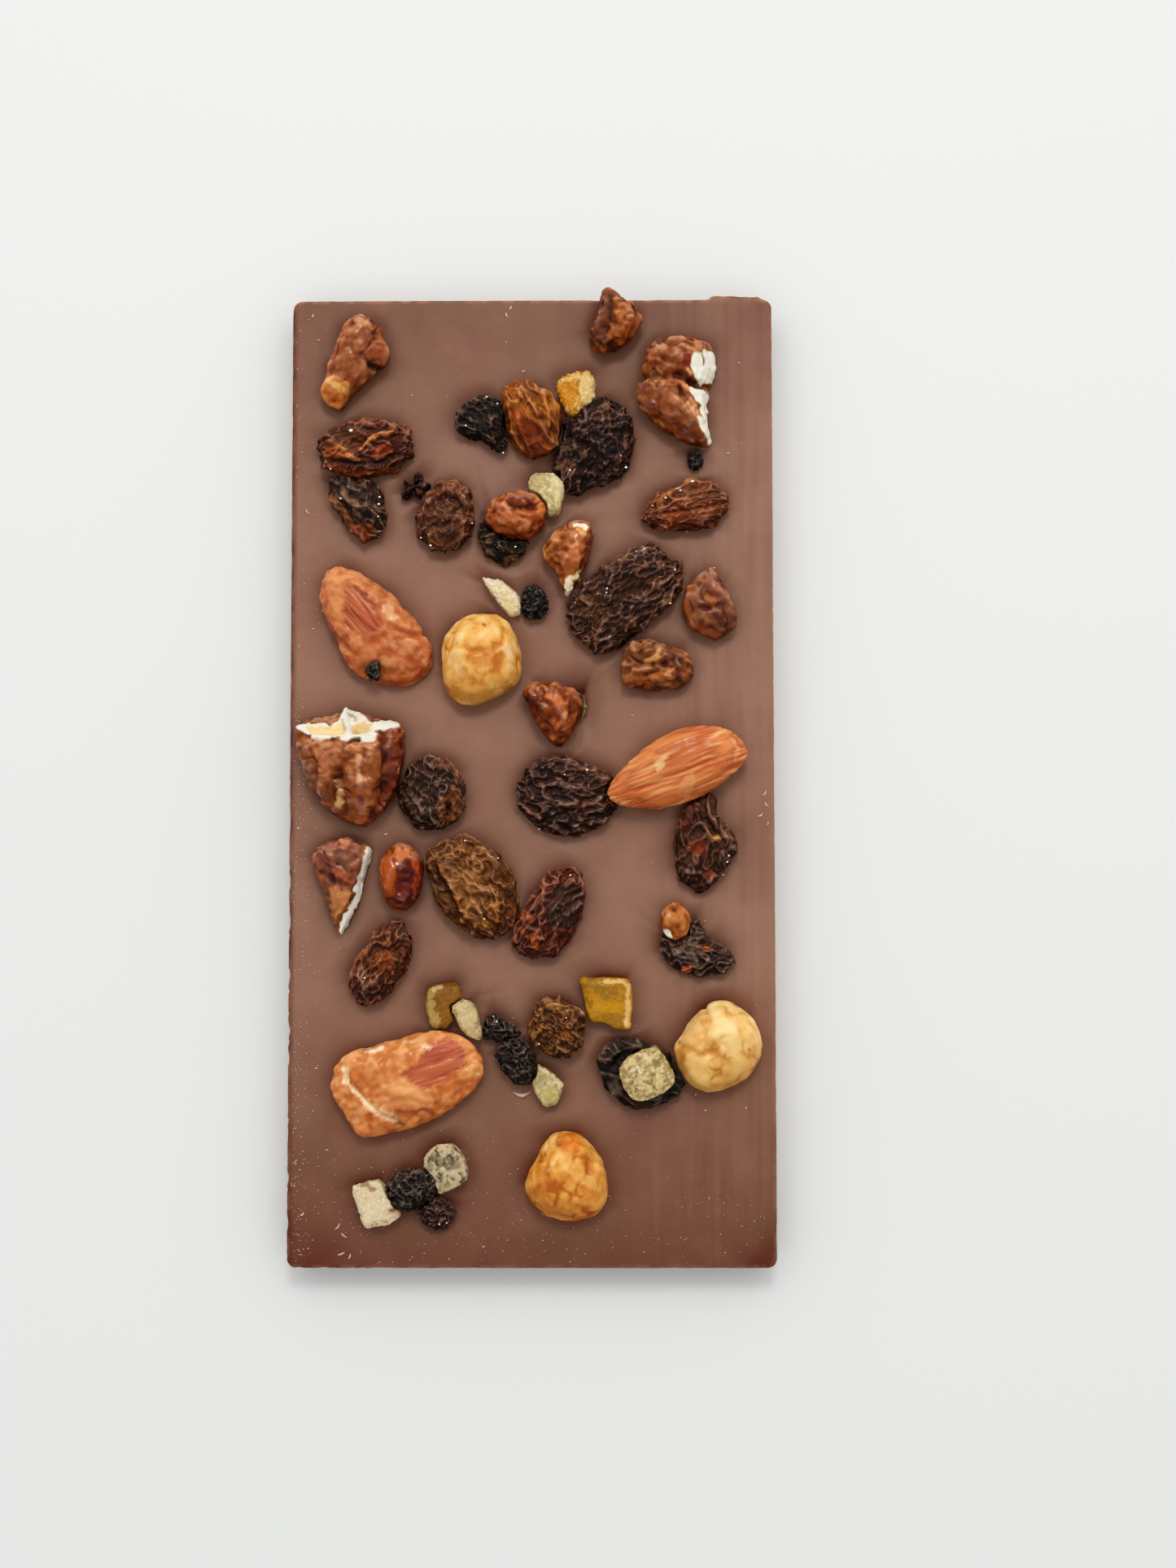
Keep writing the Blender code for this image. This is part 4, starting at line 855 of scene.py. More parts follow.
def raisin_finish(name, look):
    """Smooth plates of skin, with painted shade in the creases beside each ridge and paler along its crest,
    partly a painted highlight, with colours laid on in places, darker in painted shade where it is steep or
    leans from the window, paler with a painted sheen where it faces the window, with a waxy sheen on the
    ridges and a little sugar dust."""
    material, paint, surface = new_finish(name, {"IOR": 1.45, "Specular IOR Level": 0.12,
                                                 "Coat Roughness": 0.16})
    relief, lean = mark(paint, "relief"), mark(paint, "lean")
    crisp = cloud(paint, 0.6, 3.0, 6.0)
    level = relief * 0.78 + crisp * 0.36 - 0.04
    valley, skin, ridge = (srgb(*look[part]) for part in ("valley", "skin", "ridge"))
    # The valley colour in the creases is painted shade, and the ridge colour is partly a painted highlight.
    stops = [(0.04, valley), (0.22, skin), (0.38, valley), (0.58, skin), (0.98, ridge)]
    tone = ramp(level, stops)
    tone = tinted(paint, tone)
    depth = 0.46 if look["skin"][0] < 80 else 0.24
    crease_shade = rise(level, 0.24, 0.36) * (1 - rise(level, 0.40, 0.55)) * depth
    tone = dyed(crease_shade, tone, 0.34, 0.26, 0.20)
    shrunken = rise(cloud(paint, 4.5, 2.0, 21.0), 0.42, 0.62) * 0.6
    tone = dyed(shrunken, tone, 0.46, 0.44, 0.50)
    # Painted shade where it is steep and where it leans from the window.
    tone = dyed(mark(paint, "steep"), tone, 0.62, 0.44, 0.32)
    tone = dyed(1 - lean, tone, 0.34, 0.26, 0.20)
    tone = dyed(1.0, tone, 1.58, 1.0, 0.50)
    # Painted sheen: paler where it faces the window.
    tone = between(rise(lean, 0.5, 1.0) * rise(level, 0.2, 0.8) * 0.26, tone, srgb(150, 112, 96))
    dust = rise(cloud(paint, 0.35, 1.0, 7.0) + relief * 0.14, 0.76, 0.86) * 0.5
    between(dust, tone, srgb(206, 184, 156)).feeds(surface["Base Color"])
    (cloud(paint, 1.3, 2.0, 5.0) * 0.3 + 0.25).feeds(surface["Roughness"])
    glints = rise(level, 0.5, 0.8) * rise(cloud(paint, 0.9, 2.0, 14.0), 0.42, 0.56)
    (glints * look.get("shine", 1.0)).feeds(surface["Coat Weight"])
    bumps(crisp, 0.13, surface)
    return material


def raisin_slot(look):
    """The name of the slot that the look is nearest to, by how bright its skin is."""
    if look["skin"][0] > 120:
        return "golden_raisin"
    return "brown_raisin" if look["skin"][0] > 80 else "dark_raisin"


for number, (name, look) in enumerate(RAISINS.items()):
    seed = 100 + 20 * number
    points, outward, own = whole_form(name, RAISIN_CELL, RAISIN_RAYS)
    wrinkled = wrinkles(flowing(own, look["run"], look["size"]), seed)
    rolls = wrinkles(flowing(own, look["run"], 3.0 * look["size"]), seed + 8)
    swell = grain(own / 3.6, seed + 16)
    ragged = grain(own / 1.7, seed + 17)
    pressed = folded(points, look)
    height = look["net"] * (1.7 * wrinkled - 0.8) + 0.6 * (rolls - 0.5) + 0.4 * swell + 0.28 * ragged
    height = height + pressed - 0.14
    relief = np.clip(0.14 + 0.72 * wrinkled + 0.3 * (rolls - 0.35) + 0.12 * swell + 0.6 * pressed, 0, 1)
    wrinkled_skin = points + outward * height[..., None]
    add_closed("skin_of_" + name, name, wrinkled_skin,
               {"relief": relief, **leaning(wrinkled_skin), **tints(points, look, seed + 18)},
               raisin_finish(name, look), raisin_slot(look))


# Hazelnuts. Three whole kernels, skinned and roasted pale gold, a little blunt at the end where they grew on.
# They stand half sunk in the chocolate.
HAZELNUT_CELL, HAZELNUT_RAYS = 0.28, (22, 40)
HAZELNUTS = {
    "hazelnut_01": dict(pale=(250, 214, 152), gold=(240, 182, 92), toast=(206, 128, 44),
        folds=[(-0.15, 0.5, [(-13.5, 22), (-9, 21), (-6, 21.6)])],
        areas=[((206, 118, 34), 0.5, 0.5, 0.9, [(-10, 19.6), (-7, 18.8), (-5.4, 19.8)]),
          ((180, 120, 14), 0.5, 0.5, 0.8, [(-13, 14.6), (-10, 13.2), (-6, 14.2), (-4, 15.4)]),
          ((250, 220, 168), 0.5, 0.4, 0.6, [(-12.4, 23.6), (-11.8, 23.2)]),
          ((250, 220, 168), 0.5, 0.4, 0.7, [(-12, 18.4), (-11.6, 17)]),
          # The palest patch on the right is a painted highlight.
          ((252, 226, 190), 0.6, 0.3, 0.5, [(-4.6, 21.6), (-3.6, 20.2)]),
          ((130, 74, 20), 0.8, 0.1, 0.22, [(-8.1, 25.6), (-7.8, 25.4)])]),
    "hazelnut_02": dict(pale=(250, 220, 156), gold=(240, 194, 116), toast=(206, 144, 66),
        folds=[(-0.35, 0.4, [(28.4, -37.4), (29, -40), (28.2, -42)]), (0.25, 1, [(25.6, -43), (27.4, -40.4)]),
          (-0.3, 0.6, [(24.6, -44.2), (27.6, -45.6), (30, -45)]), (0.3, 1.2, [(26.6, -49), (28.6, -50)])],
        areas=[((226, 168, 98), 0.5, 0.5, 0, [(24, -43), (27, -39.6), (28.6, -38.2), (28.4, -42),
            # The palest patch at the right is a painted highlight.
            (26.4, -45)]), ((252, 228, 170), 0.6, 0.5, 1.6, [(31.4, -41), (32.6, -44)]),
          ((220, 160, 70), 0.5, 0.4, 0.7, [(26, -50.4), (29, -51), (33, -50)]),
          ((120, 66, 26), 0.8, 0.1, 0.2, [(24.2, -43.6), (24.3, -43.4)]),
          ((120, 66, 26), 0.8, 0.1, 0.2, [(35.7, -44.6), (35.8, -44.6)])]),
    "hazelnut_03": dict(pale=(244, 194, 108), gold=(222, 148, 54), toast=(184, 98, 18),
        folds=[(-0.25, 0.35, [(4, -60), (2.6, -62.6), (2.4, -65)]), (-0.25, 0.35, [(7.4, -60.6), (6.4, -64)]),
          (-0.2, 0.4, [(9.6, -62.6), (9, -66)])],
        areas=[((228, 122, 30), 0.6, 0.5, 0, [(4.4, -58.4), (7.8, -58.4), (8.6, -60.6), (5.8, -61.4)]),
          # Pale streaks on the upper left: painted highlights.
          ((250, 210, 140), 0.55, 0.4, 0.5, [(3.6, -59), (2.4, -60.8)]),
          ((252, 216, 160), 0.6, 0.3, 0.3, [(4.2, -62), (2.8, -64.2)]),
          ((186, 106, 4), 0.5, 0.5, 0.9, [(0.6, -68), (3, -70.6), (6, -71.6)]),
          ((250, 206, 120), 0.5, 0.5, 0.8, [(8.6, -65.4), (10, -66.6)]),
          ((236, 182, 110), 0.6, 0.4, 0.6, [(11, -70.2), (12, -69)])]),
}


def hazelnut_finish(name, look):
    """Oily gold in clouds of paler and more toasted nut, with scattered dark specks, darker where it leans
    from the window."""
    material, paint, surface = new_finish(name, {"IOR": 1.45, "Specular IOR Level": 0.18,
                                                 "Coat Roughness": 0.2, "Coat Weight": 0.08,
                                                 "Subsurface Weight": 0.12, "Subsurface Scale": MM,
                                                 "Subsurface Radius": (1.2, 0.6, 0.25)})
    relief = mark(paint, "relief")
    blotch = cloud(paint, 2.4, 5.0) * 0.85 + relief * 0.35 - 0.08
    stops = [(0.34, srgb(*look["toast"])), (0.49, srgb(*look["gold"])), (0.68, srgb(*look["pale"]))]
    flesh = ramp(blotch, stops)
    specks = rise(cloud(paint, 0.5, 2.0, 5.0), 0.70, 0.80) * 0.45
    flesh = between(specks, tinted(paint, flesh), srgb(*look["toast"]))
    # Painted shade where it leans from the window.
    flesh = dyed(1 - mark(paint, "lean"), flesh, 0.80, 0.66, 0.42)
    dyed(1.0, flesh, 1.02, 0.98, 0.92).feeds(surface["Base Color"])
    (cloud(paint, 2.0, 2.0, 3.0) * 0.25 + 0.28).feeds(surface["Roughness"])
    bumps(cloud(paint, 0.8, 4.0, 6.0), 0.12, surface)
    return material


for number, (name, look) in enumerate(HAZELNUTS.items()):
    seed = 600 + 20 * number
    points, outward, own = whole_form(name, HAZELNUT_CELL, HAZELNUT_RAYS)
    broad = grain(own / 3.6, seed)
    knobs = grain(own / 1.5, seed + 3)
    pits = creases(own / 2.6, 0.14, seed + 1) * smooth(grain(own / 4.0, seed + 2), -0.1, 0.4)
    pressed = folded(points, look)
    height = 0.24 * broad - 0.18 * pits + 0.12 * knobs + pressed - 0.05
    relief = np.clip(0.55 + 0.4 * broad + 0.3 * knobs - 0.6 * pits + pressed, 0, 1)
    kernel = points + outward * height[..., None]
    add_closed("kernel_" + name, name, kernel,
               {"relief": relief, **leaning(kernel), **tints(points, look, seed + 6)},
               hazelnut_finish(name, look), "roasted_hazelnut")


# Almonds. Two are coated in a thin cooked sugar glaze, pale orange and lumpy, which leaves a patch of grooved
# red skin bare. The one at the right is plain, bare all over, and lies across two raisins.
ALMOND_CELL, ALMOND_RAYS = 0.28, (24, 44)
ALMONDS = {
    "almond_01": dict(skin=(196, 104, 66), groove=(146, 66, 40), streak=(220, 144, 100), lay=(0.66, -0.75),
        glaze=(218, 144, 94), amber=(184, 98, 50), width=0.75,
        bare=[(-31.2, 31.8), (-30.8, 30), (-31.2, 28), (-30.9, 25.4), (-29, 24), (-27.3, 23.6), (-25.2, 24.2),
          (-25, 26.5), (-26.2, 29), (-27.8, 31), (-29.3, 32)],
        folds=[(-0.35, 0.5, [(-33, 24), (-31, 21.6), (-29.6, 20.6)]),
          (-0.4, 0.5, [(-22.4, 24.6), (-19.6, 23.6), (-18, 24.2)]), (0.3, 0.9, [(-32, 32.6), (-29.6, 33.8)]),
          (-0.3, 0.6, [(-25, 17.8), (-21.6, 17.2), (-18.4, 18.2)])],
        areas=[((226, 156, 98), 0.55, 0.4, 0, [(-33.8, 33), (-31.6, 34.4), (-30, 33.6), (-31.4, 31.6),
            (-31.6, 27.6), (-32.8, 25.4), (-34, 28)]),
          ((240, 196, 156), 0.5, 0.5, 0.8, [(-23.8, 28), (-23.2, 26.8)]),
          ((238, 190, 150), 0.5, 0.4, 0.5, [(-23.2, 22.4), (-22.8, 21.8)]),
          ((234, 182, 142), 0.5, 0.4, 0.7, [(-20.4, 22.4), (-20, 21.6)]),
          ((236, 184, 150), 0.5, 0.4, 0.6, [(-17.8, 19.6), (-17.4, 19)]),
          ((232, 178, 130), 0.5, 0.5, 0.9, [(-24.4, 19.6), (-23.2, 19)]),
          ((166, 78, 24), 0.6, 0.4, 0.7, [(-25.4, 17.2), (-22, 16.6), (-19, 17.4), (-17, 18.6)]),
          ((178, 66, 26), 0.55, 0.4, 0.5, [(-22.6, 24.8), (-20.6, 24.2), (-19.2, 23.6)]),
          ((150, 66, 22), 0.55, 0.4, 0.5, [(-33.6, 25.4), (-32.2, 23)]),
          ((160, 76, 40), 0.5, 0.4, 0.5, [(-16.6, 21.6), (-16.2, 20)]),
          ((196, 104, 66), 0.4, 0.5, 1.2, [(-27, 23), (-24, 21.6)])]),
    "almond_02": dict(skin=(220, 138, 80), groove=(188, 96, 54), streak=(242, 190, 132), lay=(0.94, 0.34),
        glaze=(218, 144, 94), amber=(184, 98, 50), width=0.8,
        bare=[(10, -8), (10, 12), (38, 12), (38, -8)],
        folds=[(0.15, 0.4, [(16, -1.4), (22, 1), (30, 4.4)]),
          (-0.18, 0.4, [(17, -2.4), (24, 0.4), (31, 3.4)])],
        # Pale patches near the middle: painted highlights.
        areas=[((246, 216, 160), 0.7, 0.3, 0.35, [(20.6, 2.4), (22, 3.2)]),
          ((246, 216, 160), 0.6, 0.3, 0.25, [(20.8, 1.4), (21.6, 2)]),
          ((196, 96, 50), 0.45, 0.4, 0.7, [(27, 3), (31, 2.2)]),
          ((236, 186, 132), 0.5, 0.5, 1, [(26, -0.6), (25, -2.6)]),
          ((240, 188, 126), 0.5, 0.4, 0.6, [(13.4, -3.4), (15, -4.6)]),
          ((164, 72, 26), 0.5, 0.4, 0.5, [(16.4, -4.8), (21, -4.6)]),
          ((232, 176, 120), 0.5, 0.3, 0.35, [(33, 6.6), (34.2, 4.8), (33.6, 2.8)])]),
    "almond_03": dict(skin=(198, 104, 70), groove=(170, 80, 54), streak=(224, 146, 110), lay=(0.96, 0.28),
        glaze=(232, 164, 104), amber=(200, 116, 54), width=0.6,
        bare=[(-18.5, -46.6), (-21.4, -48.6), (-19.6, -50.2), (-17, -51), (-14.5, -49.8), (-12, -48.2),
          (-10.6, -45.8), (-11.6, -43.8), (-14.5, -42.6), (-16.5, -43.4), (-17.6, -45)],
        folds=[(-0.5, 0.35, [(-30.6, -47.4), (-30.2, -50), (-27.4, -52.6), (-24.6, -55.2), (-21.6, -56.6)]),
          (-0.4, 0.4, [(-26.6, -55.4), (-26.4, -57.6)]), (0.35, 1, [(-28.6, -57), (-27.4, -58)]),
          (0.25, 0.8, [(-22, -51.6), (-18, -52.4)]), (-0.3, 0.5, [(-21.6, -55), (-17.6, -54.6)]),
          (0.3, 0.8, [(-30.4, -46), (-28.6, -45.2)])],
        areas=[((196, 116, 56), 0.5, 0.5, 0, [(-30, -46.6), (-25, -47), (-24.6, -50.6), (-28, -50.6)]),
          ((240, 184, 122), 0.5, 0.6, 0, [(-24, -50.6), (-21.6, -49), (-16.6, -51.6), (-16, -53),
            (-21, -53.6)]), ((216, 142, 90), 0.4, 0.5, 1.2, [(-23.6, -52.4), (-20.6, -53.4)]),
          ((246, 224, 188), 0.85, 0.4, 0.4, [(-30.6, -47.4), (-30.4, -50), (-27.4, -52.6), (-25.4, -54.2)]),
          ((246, 224, 188), 0.8, 0.5, 0.7, [(-27, -53.2), (-24.6, -54.8), (-22.2, -56)]),
          ((248, 230, 204), 0.85, 0.3, 0.3, [(-27.2, -44.8), (-25.8, -45), (-24.6, -44.2)]),
          ((246, 214, 180), 0.7, 0.3, 0.4, [(-17.4, -43.8), (-16.9, -44.2)]),
          ((240, 200, 150), 0.6, 0.3, 0.3, [(-21, -43.4), (-18.8, -43)]),
          ((150, 76, 16), 0.6, 0.3, 0.6, [(-22, -55), (-19, -55.2), (-16.4, -54.8)]),
          ((232, 170, 112), 0.7, 0.2, 0.45, [(-19.6, -55.9), (-18.8, -55.9)]),
          ((226, 156, 100), 0.6, 0.3, 0.5, [(-17.8, -55.2), (-17, -55.4)]),
          ((226, 176, 130), 0.5, 0.4, 0.7, [(-28.4, -54.6), (-28.6, -55.8)]),
          ((226, 172, 92), 0.5, 0.5, 1, [(-10.6, -48.4), (-9.4, -47.2)]),
          ((56, 26, 12), 0.85, 0.1, 0.16, [(-22.4, -56.7), (-20.8, -56.7)]),
          ((110, 60, 24), 0.6, 0.1, 0.22, [(-15.8, -53.4), (-15.6, -53.2)])]),
}


def almond_finish(name, look):
    """Bare skin with lengthwise grooves and paler streaks, under a glaze in clouds of pale sugar and amber,
    darker where it leans from the window."""
    material, paint, surface = new_finish(name, {"IOR": 1.45, "Specular IOR Level": 0.16,
                                                 "Coat Roughness": 0.12})
    bare, groove, streak, relief = (mark(paint, key) for key in ("bare", "groove", "streak", "relief"))
    skin = between(groove, srgb(*look["skin"]), srgb(*look["groove"]))
    skin = between(streak * 0.85, skin, srgb(*look["streak"]))
    cooked = cloud(paint, 1.7, 5.0, 2.0) * 0.8 + relief * 0.45 - 0.1
    glaze = between(rise(cooked, 0.38, 0.68), srgb(*look["amber"]), srgb(*look["glaze"]))
    glints = rise(cloud(paint, 0.7, 2.0, 8.0), 0.60, 0.76) * 0.4
    glaze = between(glints, glaze, srgb(240, 198, 158))
    laid = tinted(paint, between(bare, glaze, skin))
    # Painted shade where it leans from the window.
    laid = dyed(1 - mark(paint, "lean"), laid, 0.72, 0.52, 0.34)
    dyed(1.0, laid, 1.08, 1.02, 0.92).feeds(surface["Base Color"])
    (cloud(paint, 1.8, 2.0, 3.0) * 0.22 + bare * 0.1 + 0.26).feeds(surface["Roughness"])
    ((1 - bare * 0.5) * rise(cloud(paint, 1.0, 2.0, 12.0), 0.45, 0.62) * 0.5).feeds(surface["Coat Weight"])
    bumps(cloud(paint, 0.5, 4.0, 6.0), 0.1, surface)
    return material


for number, (name, look) in enumerate(ALMONDS.items()):
    seed = 700 + 20 * number
    points, outward, own = whole_form(name, ALMOND_CELL, ALMOND_RAYS)
    corners = measured(look["bare"], points[..., 2].max() - TOP_DEPTH)
    depth = depth_inside(points[..., 0], points[..., 1], corners)
    bare = smooth(depth + 0.45 * grain(points / 1.1, seed) + 0.3 * grain(points / 0.5, seed + 1), -0.2, 0.25)
    lay = np.array(look["lay"])
    along, across = points[..., :2] @ lay, points[..., :2] @ np.array([-lay[1], lay[0]])
    wander = np.stack([along, across, points[..., 2]], -1) + 0.2 * drift(own / 3.0, seed + 3)
    grooves = creases(wander / (12.0, look["width"] * 1.6, 2.2), 0.2, seed + 6)
    fine_grooves = creases(wander / (7.0, look["width"] * 0.7, 1.6), 0.22, seed + 7)
    streak = smooth(grain(wander / (8.0, look["width"] * 0.6, 2.0), seed + 10), 0.1, 0.6)
    lumps = 0.24 * grain(own / 2.3, seed + 8) + 0.17 * grain(own / 1.0, seed + 9)
    pressed = folded(points, look)
    grained = 0.05 * streak - 0.05 - 0.14 * grooves - 0.05 * fine_grooves
    height = bare * grained + (1 - bare) * lumps + pressed
    relief = np.clip(0.5 + 1.8 * lumps + 0.8 * pressed, 0, 1)
    coated = points + outward * height[..., None]
    add_closed("skin_of_" + name, name, coated,
               {"bare": bare, "relief": relief, "streak": streak, **leaning(coated),
                "groove": np.clip(0.8 * grooves + 0.5 * fine_grooves, 0, 1),
                **tints(points, look, seed + 12)},
               almond_finish(name, look), "almond_skin")


